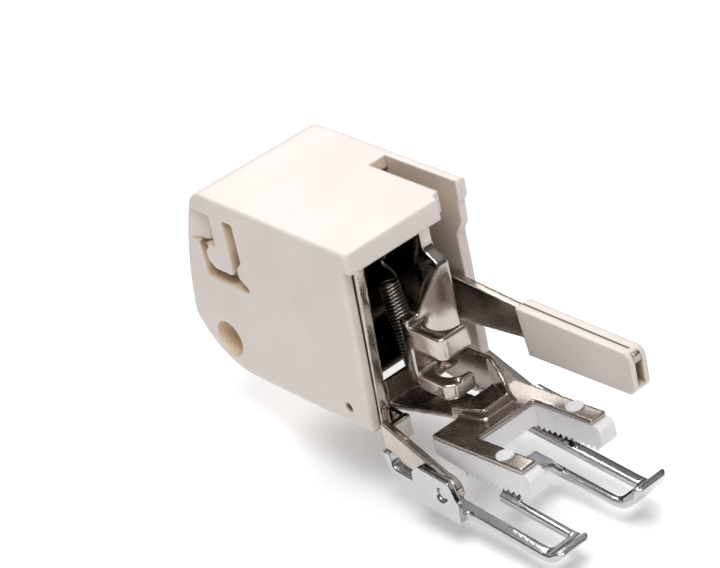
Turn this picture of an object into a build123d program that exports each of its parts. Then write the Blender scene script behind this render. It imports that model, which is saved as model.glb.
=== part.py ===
"""Walking presser foot, open toe, low shank. Millimetres, +Z up, toes towards -Y.

The origin is where the axis of the presser bar meets the axis of the clamp screw.
"""
import os
from math import atan2, cos, degrees, radians, sin

from build123d import *

# Fits
RUNNING_GAP = 0.05
LANE_GAP = 0.3

# Presser bar and clamp screw of the machine
BAR_RADIUS = 3.0
BAR_GAP = 0.05
SCREW_SLOT_HEIGHT = 4.8

# Shank clamp
CLAMP_LEFT = -5.0
CLAMP_FRONT = -4.3
CLAMP_TOP = 6.4
CLAMP_BOTTOM = -5.2
CLAMP_CORNER = 1.3
UPPER_PRONG_END = 1.1
LOWER_PRONG_END = 0.5
CLAMP_BACK_WALL = 2.0
COLUMN_TOP = 13.2
COLUMN_SHOULDER = 7.5
COLUMN_SHOULDER_WIDTH = 2.4
DIMPLE_RADIUS = 0.55
DIMPLE_DEPTH = 0.5

# Housing shell
HOUSING_LEFT = -12.4
HOUSING_WIDTH = 27.0
WALL = 1.9
ROOF = 2.2
ROOF_TOP = 22.9
HOUSING_BOTTOM = -11.6
FASCIA_FRONT = 5.2
FASCIA_HEIGHT = 3.7
FASCIA_THICKNESS = 2.0
WALL_FRONT_TOP = 7.0
WALL_FRONT_BOTTOM = 8.4
BACK_TOP_Y = 42.0
BACK_UPPER = (45.4, 20.6)
BACK_MIDDLE = (49.4, 9.4)
BACK_LOWER = (51.6, -2.6)
FLOOR_CURVE_START = 38.0
FLOOR_FRONT = 33.0
EDGE_ROUND = 0.8
RIGHT_NOSE_FRONT = 6.7
RIGHT_NOSE_BOTTOM = 16.2
RIGHT_STEP_BOTTOM = 12.6
RIGHT_WALL_FRONT = 8.9
LEVER_SLOT_WIDTH = 3.6
LEVER_SLOT_BACK = 23.5
FASCIA_CORNER = 1.8

# Snap tongue in the left wall
TONGUE_FRONT = 37.0
TONGUE_BACK = 40.3
TONGUE_SLOT = 2.8
TONGUE_TOP = 19.6
TONGUE_BOTTOM = 9.0
TONGUE_HOOK = 3.0
TONGUE_HOOK_HEIGHT = 3.2
TONGUE_BOTTOM_SLOT = 2.4
TONGUE_NECK = 1.4
TONGUE_PAD = 1.0
TONGUE_DEPTH = 2.2
TONGUE_ROUND = 0.6
TONGUE_FADE = 46.5

# Guide bar socket in the left wall
SOCKET_SETBACK = 8.9
SOCKET_Z = -5.3
SOCKET_RADIUS = 3.3
SOCKET_DEPTH = 5.0
SOCKET_WALL = 1.2
GUIDE_BAR_RADIUS = 1.6
GUIDE_BAR_GAP = 0.1
GUIDE_BORE_LENGTH = 4.0

# Locating pip of the left plate in the housing
PIP_Y = 13.0
PIP_Z = -8.1
PIP_RADIUS = 0.75
PIP_GAP = 0.1
PIP_RECESS = 0.5

# Frame plates
PLATE_TOP_GAP = 0.3
LEFT_PLATE_GAP = 0.2
LEFT_PLATE = 2.0
RIGHT_PLATE_LEFT = 3.2
RIGHT_PLATE = 2.2
LEFT_PLATE_FRONT_TOP = 6.3
LEFT_PLATE_FRONT_BOTTOM = 8.2
LEFT_PLATE_BOTTOM = -12.6
LEFT_LEG_BACK = 15.6
LEFT_PLATE_SHOULDER = 4.6
LEFT_LEG_TOE = 3.0
PLATE_LOWER_EDGE = -3.2
PLATE_BACK_TOP = 32.0
PLATE_BACK_MIDDLE = 9.0
RIGHT_PLATE_FRONT = 6.0
RIGHT_PLATE_STEP = 16.4

# Shafts
LEVER_PIVOT = (27.0, 0.7)
CARRIER_PIVOT = (34.0, -5.8)
SWING_PIVOT = (20.0, 15.0)
SHAFT_RADIUS = 1.5
SHAFT_HEAD_RADIUS = 2.5
SHAFT_HEAD = 0.6
SHAFT_SEAT_DEPTH = 1.2
PIVOT_LOBE = 3.1
CLIP_RADIUS = 2.7
CLIP = 0.4
CLIP_GROOVE = 0.35
CLIP_OPENING = 1.8

# Lever
LEVER_WALL_GAP = 0.9
LEVER_STRIP = 1.6
LEVER_HUB_RADIUS = 4.6
LEVER_ROOT_Y = 9.0
LEVER_ROOT_TOP = 5.6
LEVER_ROOT_BOTTOM = -2.8
LEVER_NECK_TOP = 4.7
LEVER_NECK_BOTTOM = -0.9
LEVER_END_Y = -31.0
LEVER_TIP_HEIGHT = 1.5
LEVER_TIP_LENGTH = 3.0
CRANK_RADIUS = 8.0
CRANK_ANGLE = 25.0
CRANK_PIN_RADIUS = 1.2
CRANK_EYE = 2.4
LEVER_BUSH_WALL = 1.0
LEVER_BUSH_LENGTH = 3.7
LEVER_TRAVEL = 30.0

# Lever sleeve
SLEEVE_BACK_Y = -6.2
SLEEVE_FRONT_Y = -31.0
SLEEVE_TOP_BACK = 5.3
SLEEVE_TOP_FRONT = 5.1
SLEEVE_BOTTOM_BACK = -3.1
SLEEVE_BOTTOM_FRONT = -2.3
SLEEVE_WALL = 0.85
SLEEVE_TIP = 1.6
SLEEVE_SLANT = 1.4
SLEEVE_SLIT = 0.35

# Sole carrier
CARRIER_SHEET = 1.2
CARRIER_INNER = 6.9
CARRIER_OUTER = 10.8
CARRIER_OUTER_SHEET = 1.5
CARRIER_WEB_FRONT = 4.6
CARRIER_WEB = 1.3
CARRIER_WEB_TOP = -9.4
CARRIER_WEB_BOTTOM = -13.4
CARRIER_ARM_TOP = -8.4
CARRIER_ARM_BOTTOM = -13.0
CARRIER_ARM_END = 2.1
CARRIER_ARM_CROWN = 2.7
CARRIER_INNER_HEIGHT = 3.4
CARRIER_EYE = 3.0
CROSS_WEB_FRONT = 17.0
CROSS_WEB_BACK = 29.5
CROSS_WEB_TOP = -8.0
SLOT_GAP = 0.3
SLOT_WALL = 1.6
TAIL_WAIST = 1.9

# Sole, measured in its own frame from the axis of its rivets
SOLE_PIVOT = (-8.0, -16.2)
SOLE_TOE_DOWN = 4.3
SOLE_BOTTOM = -4.1
SOLE_SHEET = 1.5
SOLE_HALF_WIDTH = 11.7
TOE_RAIL = 2.1
TOE_SLOT = 3.8
INNER_RAIL = 1.4
TOE_FRONT_LEFT = -22.5
TOE_FRONT_RIGHT = -24.0
TOE_CURL_LEFT = 3.5
TOE_CURL_RIGHT = 5.2
TOE_RISE_LEFT = 1.3
TOE_RISE_RIGHT = 4.2
TOE_SLOT_FRONT = -20.1
HEEL_BACK = 16.0
HEEL_CURL = 3.4
HEEL_RISE = 2.6
TOE_CORNER = 2.2
SLOT_CORNER = 0.8
SHEET_ROUND = 0.3
SEAM = 2.4
BRIDGE_BACK = -4.4
BRIDGE_LENGTH = 4.0
BRIDGE_RISE = 3.4
BRIDGE_CROWN = 3.0
BRIDGE_BEND = 0.8
EAR_SHEET = 1.2
EAR_GAP = 0.2
EAR_FRONT = -3.7
EAR_BACK = 6.6
EAR_TOP = 3.3
EAR_CHAMFER = 1.7
EAR_COUNTERSINK = 0.4
RIVET_RADIUS = 1.05
RIVET_HEAD_RADIUS = 1.7
RIVET_HEAD = 0.45

# Feeder, measured in its own frame: origin on top of the plate at its rear edge
FEED_REAR = (-3.0, -9.1)
FEED_NOSE_UP = 4.0
FEED_PLATE = 0.9
FEED_HALF_WIDTH = 9.3
FEED_LEG = 3.3
FEED_PLATE_LENGTH = 20.6
FEED_PAD_LENGTH = 22.0
FEED_CROSS = 7.6
FEED_PAD_HEIGHT = 3.9
FEED_CROSS_HEIGHT = 3.4
TOOTH_PITCH = 1.25
TOOTH_HEIGHT = 0.8
TOOTH_COUNT = 12
PAD_REAR_RISE = 1.2
PAD_NOSE_ROUND = 0.7
PEG_RADIUS = 1.15
PEG_HEAD = 0.35
PEG_FROM_NOSE = 5.2
TRAY_LEFT = -3.5
TRAY_FRONT_LEFT = -2.0
TRAY_FRONT_RIGHT = 4.4
TRAY_FRONT = -4.8
TRAY_BACK = 1.4
TRAY_RIM = 1.6
TRAY_SHEET = 0.9
TRAY_FLOOR = 0.6
TRAY_CORNER = 1.2
FEED_TAB_LEFT = -6.2
FEED_TAB_RIGHT = 2.4
FEED_TAB_BACK = 14.4
FEED_TAB_LIP = 4.0
FEED_TAB_FLARE = 1.6
FEED_ARM_SHEET = 0.9
FEED_ARM_TOP = 5.6
FEED_ARM_BACK = 9.0
FEED_ARM_WIDTH = 5.0
FEED_HUB_RADIUS = 3.0
FEED_HUB_LENGTH = 1.7

# Return spring
SPRING_X = -0.6
SPRING_POST = (12.6, 15.4)
SPRING_POST_RADIUS = 1.2
SPRING_PIN = (8.4, -6.6)
SPRING_PIN_RADIUS = 0.8
SPRING_RADIUS = 1.9
SPRING_WIRE = 0.5
SPRING_PITCH = 0.61
SPRING_TOP_HOOK = 5.6
SPRING_BOTTOM_HOOK = 2.1
SPRING_HOOK_GAP = 0.15

# Rear spacer
SPACER = (28.5, 15.0)
SPACER_RADIUS = 1.6

# Places that follow from the sizes above
HOUSING_RIGHT = HOUSING_LEFT + HOUSING_WIDTH
ROOF_INSIDE = ROOF_TOP - ROOF
FASCIA_BOTTOM = ROOF_TOP - FASCIA_HEIGHT
LEFT_WALL_INSIDE = HOUSING_LEFT + WALL
RIGHT_WALL_INSIDE = HOUSING_RIGHT - WALL
LEVER_SLOT_LEFT = RIGHT_WALL_INSIDE - LEVER_SLOT_WIDTH
LEFT_PLATE_OUTSIDE = LEFT_WALL_INSIDE + LEFT_PLATE_GAP
LEVER_LEFT = RIGHT_WALL_INSIDE - LEVER_WALL_GAP - LEVER_STRIP
RIGHT_PLATE_RIGHT = RIGHT_PLATE_LEFT + RIGHT_PLATE
PLATE_TOP = ROOF_INSIDE - PLATE_TOP_GAP
PLATE_FRONT_TOP = FASCIA_BOTTOM - PLATE_TOP_GAP
FASCIA_BACK = FASCIA_FRONT + FASCIA_THICKNESS + PLATE_TOP_GAP
CHANNEL_RADIUS = BAR_RADIUS + BAR_GAP
COLUMN_BACK = CHANNEL_RADIUS + CLAMP_BACK_WALL
SHAFT_HOLE = SHAFT_RADIUS + RUNNING_GAP
FEED_ARM_LEFT = RIGHT_PLATE_RIGHT + LANE_GAP
SOCKET_Y = CARRIER_PIVOT[0] + SOCKET_SETBACK
HOOK_TOP = TONGUE_BOTTOM + TONGUE_HOOK_HEIGHT + TONGUE_NECK
CARRIER_INNER_OUT = CARRIER_INNER + CARRIER_SHEET
CARRIER_OUTER_OUT = CARRIER_OUTER + CARRIER_OUTER_SHEET
CRANK_PIN = (
    LEVER_PIVOT[0] + CRANK_RADIUS * sin(radians(CRANK_ANGLE)),
    LEVER_PIVOT[1] + CRANK_RADIUS * cos(radians(CRANK_ANGLE)),
)
EAR_LEFT = CARRIER_OUTER_OUT + EAR_GAP
TOE_LOOP = TOE_RAIL + TOE_SLOT + INNER_RAIL
NEEDLE_HALF_GAP = SOLE_HALF_WIDTH - TOE_LOOP
SOLE_TOP = SOLE_BOTTOM + SOLE_SHEET

os.makedirs("parts", exist_ok=True)


def side(x):
    """Plane seen from the right-hand side, at x: its first axis is +Y, its second +Z."""
    return Plane.YZ.offset(x)


def sole_side(x):
    """Side plane of the tilted sole, with the rivet axis as its origin."""
    tilt = radians(SOLE_TOE_DOWN)
    return Plane(origin=(x, *SOLE_PIVOT), x_dir=(0, cos(tilt), sin(tilt)), z_dir=(1, 0, 0))


def sole_plan(height):
    """Plan plane of the tilted sole, at a height above the rivet axis."""
    tilt = radians(SOLE_TOE_DOWN)
    return Plane(origin=(0, *SOLE_PIVOT), x_dir=(1, 0, 0), z_dir=(0, -sin(tilt), cos(tilt))).offset(height)


def feed_plan(height):
    """Plan plane of the feeder at rest, at a height above its plate."""
    tilt = radians(FEED_NOSE_UP)
    return Plane(origin=(0, *FEED_REAR), x_dir=(1, 0, 0), z_dir=(0, sin(tilt), cos(tilt))).offset(height)


def feed_side(x):
    """Side plane of the feeder at rest, with the rear edge of its plate as origin."""
    tilt = radians(FEED_NOSE_UP)
    return Plane(origin=(x, *FEED_REAR), x_dir=(0, cos(tilt), -sin(tilt)), z_dir=(1, 0, 0))


def front(y):
    """Plane seen from the front, at y: its first axis is +X, its second +Z."""
    return Plane(origin=(0, y, 0), x_dir=(1, 0, 0), z_dir=(0, -1, 0))


def keep(builder, name):
    """Label a finished piece and write it."""
    builder.part.label = name
    export_step(builder.part, "parts/" + name + ".step")


# Housing: a moulded shell, open in front and below
with BuildPart() as housing:
    with BuildSketch(side(HOUSING_LEFT)):
        with BuildLine():
            Line((WALL_FRONT_BOTTOM, HOUSING_BOTTOM), (FLOOR_CURVE_START, HOUSING_BOTTOM))
            TangentArc((FLOOR_CURVE_START, HOUSING_BOTTOM), BACK_LOWER, tangent=(1, 0))
            ThreePointArc(BACK_LOWER, BACK_MIDDLE, BACK_UPPER)
            TangentArc(BACK_UPPER, (BACK_TOP_Y, ROOF_TOP), tangent=(-1, 2))
            Polyline(
                (BACK_TOP_Y, ROOF_TOP),
                (FASCIA_FRONT, ROOF_TOP),
                (FASCIA_FRONT, FASCIA_BOTTOM),
                (WALL_FRONT_TOP, FASCIA_BOTTOM),
                (WALL_FRONT_BOTTOM, HOUSING_BOTTOM),
            )
        make_face()
    extrude(amount=HOUSING_WIDTH)
    side_edges = housing.faces().sort_by(Axis.X)[0].edges() + housing.faces().sort_by(Axis.X)[-1].edges()
    fillet(side_edges, EDGE_ROUND)
    with BuildSketch(side(LEFT_WALL_INSIDE)):
        with BuildLine():
            Polyline(
                (FLOOR_FRONT, HOUSING_BOTTOM + WALL),
                (FLOOR_FRONT, HOUSING_BOTTOM - WALL),
                (FASCIA_FRONT - WALL, HOUSING_BOTTOM - WALL),
                (FASCIA_FRONT - WALL, FASCIA_BOTTOM),
                (FASCIA_FRONT + FASCIA_THICKNESS, FASCIA_BOTTOM),
                (FASCIA_FRONT + FASCIA_THICKNESS, ROOF_INSIDE),
                (BACK_TOP_Y, ROOF_INSIDE),
                (BACK_UPPER[0] - WALL, BACK_UPPER[1] - WALL),
            )
            ThreePointArc(
                (BACK_UPPER[0] - WALL, BACK_UPPER[1] - WALL),
                (BACK_MIDDLE[0] - WALL, BACK_MIDDLE[1]),
                (BACK_LOWER[0] - WALL, BACK_LOWER[1]),
            )
            TangentArc(
                (FLOOR_CURVE_START, HOUSING_BOTTOM + WALL),
                (BACK_LOWER[0] - WALL, BACK_LOWER[1]),
                tangent=(1, 0),
            )
            Line((FLOOR_CURVE_START, HOUSING_BOTTOM + WALL), (FLOOR_FRONT, HOUSING_BOTTOM + WALL))
        make_face()
    extrude(amount=HOUSING_WIDTH - 2 * WALL, mode=Mode.SUBTRACT)
    # The lever swings up through a slot beside the right wall
    with BuildSketch(Plane.XY.offset(FASCIA_BOTTOM)):
        with BuildLine():
            Polyline(
                (RIGHT_WALL_INSIDE, LEVER_SLOT_BACK),
                (LEVER_SLOT_LEFT, LEVER_SLOT_BACK),
                (LEVER_SLOT_LEFT, FASCIA_FRONT + FASCIA_CORNER),
            )
            RadiusArc(
                (LEVER_SLOT_LEFT, FASCIA_FRONT + FASCIA_CORNER),
                (LEVER_SLOT_LEFT - FASCIA_CORNER, FASCIA_FRONT),
                -FASCIA_CORNER,
            )
            Polyline(
                (LEVER_SLOT_LEFT - FASCIA_CORNER, FASCIA_FRONT),
                (LEVER_SLOT_LEFT - FASCIA_CORNER, FASCIA_FRONT - WALL),
                (HOUSING_RIGHT, FASCIA_FRONT - WALL),
                (HOUSING_RIGHT, RIGHT_NOSE_FRONT),
                (RIGHT_WALL_INSIDE, RIGHT_NOSE_FRONT),
                (RIGHT_WALL_INSIDE, LEVER_SLOT_BACK),
            )
        make_face()
    extrude(amount=FASCIA_HEIGHT, mode=Mode.SUBTRACT)
    # The right wall steps back below its nose
    with BuildSketch(side(RIGHT_WALL_INSIDE)):
        with BuildLine():
            Polyline(
                (RIGHT_NOSE_FRONT, FASCIA_BOTTOM),
                (RIGHT_NOSE_FRONT, RIGHT_NOSE_BOTTOM),
                (RIGHT_WALL_FRONT, RIGHT_STEP_BOTTOM),
                (RIGHT_WALL_FRONT, HOUSING_BOTTOM),
                (FASCIA_FRONT, HOUSING_BOTTOM),
                (FASCIA_FRONT, FASCIA_BOTTOM),
                close=True,
            )
        make_face()
    extrude(amount=WALL, mode=Mode.SUBTRACT)
    # A thickened patch of the left wall, grooved round a hooked tongue
    with BuildSketch(side(LEFT_WALL_INSIDE)):
        with BuildLine():
            Polyline(
                (TONGUE_FRONT - TONGUE_SLOT - TONGUE_PAD, ROOF_INSIDE),
                (TONGUE_FRONT - TONGUE_SLOT - TONGUE_PAD, TONGUE_BOTTOM - TONGUE_BOTTOM_SLOT - TONGUE_PAD),
                (BACK_MIDDLE[0] - WALL, TONGUE_BOTTOM - TONGUE_BOTTOM_SLOT - TONGUE_PAD),
                (BACK_UPPER[0] - WALL, ROOF_INSIDE - TONGUE_PAD),
                (BACK_TOP_Y, ROOF_INSIDE),
                close=True,
            )
        make_face()
    extrude(amount=TONGUE_PAD)
    with BuildSketch(side(HOUSING_LEFT)) as groove:
        with BuildLine():
            Polyline(
                (TONGUE_FRONT, TONGUE_TOP),
                (TONGUE_FRONT - TONGUE_SLOT, TONGUE_TOP),
                (TONGUE_FRONT - TONGUE_SLOT, TONGUE_BOTTOM + TONGUE_HOOK_HEIGHT),
                (TONGUE_FRONT - TONGUE_NECK, TONGUE_BOTTOM + TONGUE_HOOK_HEIGHT - TONGUE_NECK),
                (TONGUE_FRONT - TONGUE_NECK, TONGUE_BOTTOM),
                (TONGUE_FRONT - TONGUE_SLOT - TONGUE_ROUND, TONGUE_BOTTOM - TONGUE_NECK),
                (TONGUE_FRONT - TONGUE_SLOT - TONGUE_ROUND, TONGUE_BOTTOM - TONGUE_BOTTOM_SLOT),
                (TONGUE_BACK + TONGUE_HOOK + TONGUE_NECK, TONGUE_BOTTOM - TONGUE_BOTTOM_SLOT),
                (TONGUE_BACK + TONGUE_HOOK + TONGUE_NECK, HOOK_TOP),
                (TONGUE_BACK, HOOK_TOP),
                (TONGUE_BACK + TONGUE_HOOK, TONGUE_BOTTOM + TONGUE_HOOK_HEIGHT),
                (TONGUE_BACK + TONGUE_HOOK, TONGUE_BOTTOM + TONGUE_NECK),
                (TONGUE_BACK + TONGUE_NECK, TONGUE_BOTTOM),
                (TONGUE_FRONT, TONGUE_BOTTOM),
                close=True,
            )
        make_face()
        fillet(groove.vertices(), TONGUE_ROUND)
    extrude(amount=TONGUE_DEPTH, mode=Mode.SUBTRACT)
    with BuildSketch(Plane.XY.offset(HOOK_TOP)):
        with BuildLine():
            Polyline(
                (HOUSING_LEFT, TONGUE_BACK),
                (HOUSING_LEFT + TONGUE_DEPTH, TONGUE_BACK),
                (HOUSING_LEFT, TONGUE_FADE),
                close=True,
            )
        make_face()
    extrude(amount=TONGUE_TOP - HOOK_TOP, mode=Mode.SUBTRACT)
    # Tubular socket for a guide bar, wide at its mouth
    with BuildSketch(side(LEFT_WALL_INSIDE - WALL / 2)):
        with Locations((SOCKET_Y, SOCKET_Z)):
            Circle(SOCKET_RADIUS + SOCKET_WALL)
    extrude(amount=SOCKET_DEPTH + GUIDE_BORE_LENGTH - WALL / 2)
    with BuildSketch(side(HOUSING_LEFT)):
        with Locations((SOCKET_Y, SOCKET_Z)):
            Circle(SOCKET_RADIUS)
    extrude(amount=SOCKET_DEPTH, mode=Mode.SUBTRACT)
    with BuildSketch(side(HOUSING_LEFT)):
        with Locations((SOCKET_Y, SOCKET_Z)):
            Circle(GUIDE_BAR_RADIUS + GUIDE_BAR_GAP)
        with Locations((PIP_Y, PIP_Z)):
            Circle(PIP_RADIUS + PIP_GAP)
    extrude(amount=SOCKET_DEPTH + GUIDE_BORE_LENGTH, mode=Mode.SUBTRACT)
    # Blind seat for the end of the lever shaft
    with BuildSketch(side(RIGHT_WALL_INSIDE)):
        with Locations(LEVER_PIVOT):
            Circle(SHAFT_HOLE)
    extrude(amount=SHAFT_SEAT_DEPTH, mode=Mode.SUBTRACT)
keep(housing, "housing")


# Left frame plate, with a pip that locates the housing
with BuildPart() as left_frame_plate:
    with BuildSketch(side(LEFT_PLATE_OUTSIDE)):
        with BuildLine():
            Polyline(
                (LEFT_PLATE_FRONT_TOP, PLATE_FRONT_TOP),
                (LEFT_PLATE_FRONT_BOTTOM, LEFT_PLATE_BOTTOM),
                (LEFT_PLATE_FRONT_BOTTOM + LEFT_LEG_TOE, LEFT_PLATE_BOTTOM),
                (LEFT_LEG_BACK, PIP_Z - 2 * PIP_RADIUS),
                (LEFT_LEG_BACK + LEFT_LEG_TOE, PLATE_LOWER_EDGE),
                (CARRIER_PIVOT[0] - 2 * PIVOT_LOBE, PLATE_LOWER_EDGE),
                (CARRIER_PIVOT[0] - PIVOT_LOBE, CARRIER_PIVOT[1]),
            )
            ThreePointArc(
                (CARRIER_PIVOT[0] - PIVOT_LOBE, CARRIER_PIVOT[1]),
                (CARRIER_PIVOT[0], CARRIER_PIVOT[1] - PIVOT_LOBE),
                (CARRIER_PIVOT[0] + PIVOT_LOBE, CARRIER_PIVOT[1]),
            )
            Polyline(
                (CARRIER_PIVOT[0] + PIVOT_LOBE, CARRIER_PIVOT[1]),
                (CARRIER_PIVOT[0] + PIVOT_LOBE, LEFT_PLATE_SHOULDER),
                (PLATE_BACK_TOP, LEFT_PLATE_SHOULDER),
                (PLATE_BACK_TOP, PLATE_TOP),
                (FASCIA_BACK, PLATE_TOP),
                (FASCIA_BACK, PLATE_FRONT_TOP),
                (LEFT_PLATE_FRONT_TOP, PLATE_FRONT_TOP),
            )
        make_face()
        with Locations(CARRIER_PIVOT, SWING_PIVOT):
            Circle(SHAFT_RADIUS, mode=Mode.SUBTRACT)
        with Locations(SPRING_POST):
            Circle(SPRING_POST_RADIUS, mode=Mode.SUBTRACT)
        with Locations(SPACER):
            Circle(SPACER_RADIUS, mode=Mode.SUBTRACT)
    extrude(amount=LEFT_PLATE)
    with BuildSketch(side(HOUSING_LEFT + PIP_RECESS)):
        with Locations((PIP_Y, PIP_Z)):
            Circle(PIP_RADIUS)
    extrude(amount=LEFT_PLATE_OUTSIDE - HOUSING_LEFT - PIP_RECESS)
keep(left_frame_plate, "left_frame_plate")


# Shank bracket: right plate, column and U-shaped clamp in one heavy stamping
with BuildPart() as shank_bracket:
    with BuildSketch(side(RIGHT_PLATE_LEFT)):
        with BuildLine():
            Polyline(
                (COLUMN_BACK, PLATE_LOWER_EDGE),
                (CARRIER_PIVOT[0] - 2 * PIVOT_LOBE, PLATE_LOWER_EDGE),
                (CARRIER_PIVOT[0] - PIVOT_LOBE, CARRIER_PIVOT[1]),
            )
            ThreePointArc(
                (CARRIER_PIVOT[0] - PIVOT_LOBE, CARRIER_PIVOT[1]),
                (CARRIER_PIVOT[0], CARRIER_PIVOT[1] - PIVOT_LOBE),
                (CARRIER_PIVOT[0] + PIVOT_LOBE, CARRIER_PIVOT[1]),
            )
            Polyline(
                (CARRIER_PIVOT[0] + PIVOT_LOBE, CARRIER_PIVOT[1]),
                (CARRIER_PIVOT[0] + PIVOT_LOBE, PLATE_BACK_MIDDLE),
                (PLATE_BACK_TOP, PLATE_TOP),
                (FASCIA_BACK, PLATE_TOP),
                (FASCIA_BACK, PLATE_FRONT_TOP),
                (RIGHT_PLATE_FRONT, PLATE_FRONT_TOP),
                (RIGHT_PLATE_FRONT, RIGHT_PLATE_STEP),
            )
            # The front edge swings forward in an S to the top of the column
            Spline(
                (RIGHT_PLATE_FRONT, RIGHT_PLATE_STEP),
                (CHANNEL_RADIUS, COLUMN_TOP),
                tangents=((0, -1), (-0.4, -1)),
            )
            Polyline(
                (CHANNEL_RADIUS, COLUMN_TOP),
                (CHANNEL_RADIUS, PLATE_LOWER_EDGE),
                (COLUMN_BACK, PLATE_LOWER_EDGE),
            )
        make_face()
        with Locations(CARRIER_PIVOT, SWING_PIVOT, LEVER_PIVOT):
            Circle(SHAFT_RADIUS, mode=Mode.SUBTRACT)
        with Locations(SPRING_POST):
            Circle(SPRING_POST_RADIUS, mode=Mode.SUBTRACT)
        with Locations(SPACER):
            Circle(SPACER_RADIUS, mode=Mode.SUBTRACT)
    extrude(amount=RIGHT_PLATE)
    # Column: wide at the clamp, narrow where it joins the plate
    with BuildSketch(front(COLUMN_BACK)):
        with BuildLine():
            Polyline(
                (RIGHT_PLATE_LEFT, COLUMN_TOP),
                (RIGHT_PLATE_RIGHT, COLUMN_TOP),
                (RIGHT_PLATE_RIGHT, PLATE_LOWER_EDGE),
                (RIGHT_PLATE_LEFT, CLAMP_BOTTOM),
                (CLAMP_LEFT, CLAMP_BOTTOM),
                (CLAMP_LEFT, COLUMN_SHOULDER),
                (CLAMP_LEFT + COLUMN_SHOULDER_WIDTH, COLUMN_SHOULDER),
                close=True,
            )
        make_face()
    extrude(amount=CLAMP_BACK_WALL)
    # Two prongs, one above and one below the screw slot
    with BuildSketch(Plane.XY.offset(CLAMP_BOTTOM)):
        with BuildLine():
            Polyline(
                (CLAMP_LEFT, COLUMN_BACK),
                (CLAMP_LEFT, CLAMP_FRONT + CLAMP_CORNER),
                (CLAMP_LEFT + CLAMP_CORNER, CLAMP_FRONT),
                (LOWER_PRONG_END, CLAMP_FRONT),
                (LOWER_PRONG_END, COLUMN_BACK),
                close=True,
            )
        make_face()
    extrude(amount=-SCREW_SLOT_HEIGHT / 2 - CLAMP_BOTTOM)
    with BuildSketch(Plane.XY.offset(SCREW_SLOT_HEIGHT / 2)):
        with BuildLine():
            Line((CLAMP_LEFT, COLUMN_BACK), (CLAMP_LEFT, CLAMP_FRONT + CLAMP_CORNER))
            RadiusArc(
                (CLAMP_LEFT, CLAMP_FRONT + CLAMP_CORNER),
                (CLAMP_LEFT + CLAMP_CORNER, CLAMP_FRONT),
                -CLAMP_CORNER,
            )
            Polyline(
                (CLAMP_LEFT + CLAMP_CORNER, CLAMP_FRONT),
                (UPPER_PRONG_END, CLAMP_FRONT),
                (UPPER_PRONG_END, COLUMN_BACK),
                (CLAMP_LEFT, COLUMN_BACK),
            )
        make_face()
    extrude(amount=CLAMP_TOP - SCREW_SLOT_HEIGHT / 2)
    # Round-backed channel for the presser bar, open to the right
    with BuildSketch(Plane.XY.offset(CLAMP_BOTTOM)):
        Circle(CHANNEL_RADIUS)
        with Locations((RIGHT_PLATE_RIGHT, 0)):
            Rectangle(2 * RIGHT_PLATE_RIGHT, 2 * CHANNEL_RADIUS)
    extrude(amount=COLUMN_TOP - CLAMP_BOTTOM, mode=Mode.SUBTRACT)
    with BuildSketch(Plane.XY.offset(-SCREW_SLOT_HEIGHT / 2)):
        with Locations((CLAMP_LEFT + 2 * CLAMP_CORNER, CLAMP_FRONT + CLAMP_CORNER / 2)):
            Circle(DIMPLE_RADIUS)
    extrude(amount=-DIMPLE_DEPTH, mode=Mode.SUBTRACT)
keep(shank_bracket, "shank_bracket")


def clip_ring(x, pivot):
    """A retaining clip: an open ring that sits in a shaft's groove."""
    with BuildPart() as ring:
        with BuildSketch(side(x)):
            with Locations(pivot):
                Circle(CLIP_RADIUS)
                Circle(SHAFT_RADIUS - CLIP_GROOVE, mode=Mode.SUBTRACT)
            with Locations((pivot[0], pivot[1] - CLIP_RADIUS)):
                Rectangle(CLIP_OPENING, 2 * CLIP_RADIUS - SHAFT_RADIUS, mode=Mode.SUBTRACT)
        extrude(amount=CLIP)
    return ring


def plain_shaft(pivot, start, end, clip_at):
    """A shaft along X with a groove for its clip."""
    with BuildPart() as shaft:
        with BuildSketch(side(start)):
            with Locations(pivot):
                Circle(SHAFT_RADIUS)
        extrude(amount=end - start)
        with BuildSketch(side(clip_at)):
            with Locations(pivot):
                Circle(2 * SHAFT_RADIUS)
                Circle(SHAFT_RADIUS - CLIP_GROOVE, mode=Mode.SUBTRACT)
        extrude(amount=CLIP, mode=Mode.SUBTRACT)
    return shaft


# Carrier shaft and its clip, just outside the carrier's right arm
CARRIER_CLIP_X = CARRIER_INNER_OUT + RUNNING_GAP
carrier_shaft = plain_shaft(CARRIER_PIVOT, LEFT_PLATE_OUTSIDE, CARRIER_CLIP_X + 2 * CLIP, CARRIER_CLIP_X)
keep(carrier_shaft, "carrier_shaft")
carrier_clip = clip_ring(CARRIER_CLIP_X, CARRIER_PIVOT)
keep(carrier_clip, "carrier_clip")

# Swing shaft and its clip, just outside the feeder's hub
SWING_CLIP_X = FEED_ARM_LEFT + FEED_HUB_LENGTH + RUNNING_GAP
swing_shaft = plain_shaft(SWING_PIVOT, LEFT_PLATE_OUTSIDE, SWING_CLIP_X + 2 * CLIP, SWING_CLIP_X)
keep(swing_shaft, "swing_shaft")
swing_clip = clip_ring(SWING_CLIP_X, SWING_PIVOT)
keep(swing_clip, "swing_clip")

# Lever shaft: headed behind the right plate, its far end in the housing
with BuildPart() as lever_shaft:
    with BuildSketch(side(RIGHT_PLATE_LEFT - SHAFT_HEAD)):
        with Locations(LEVER_PIVOT):
            Circle(SHAFT_HEAD_RADIUS)
    extrude(amount=SHAFT_HEAD)
    with BuildSketch(side(RIGHT_PLATE_LEFT)):
        with Locations(LEVER_PIVOT):
            Circle(SHAFT_RADIUS)
    extrude(amount=RIGHT_WALL_INSIDE + SHAFT_SEAT_DEPTH - RIGHT_PLATE_LEFT - RUNNING_GAP)
keep(lever_shaft, "lever_shaft")


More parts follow.
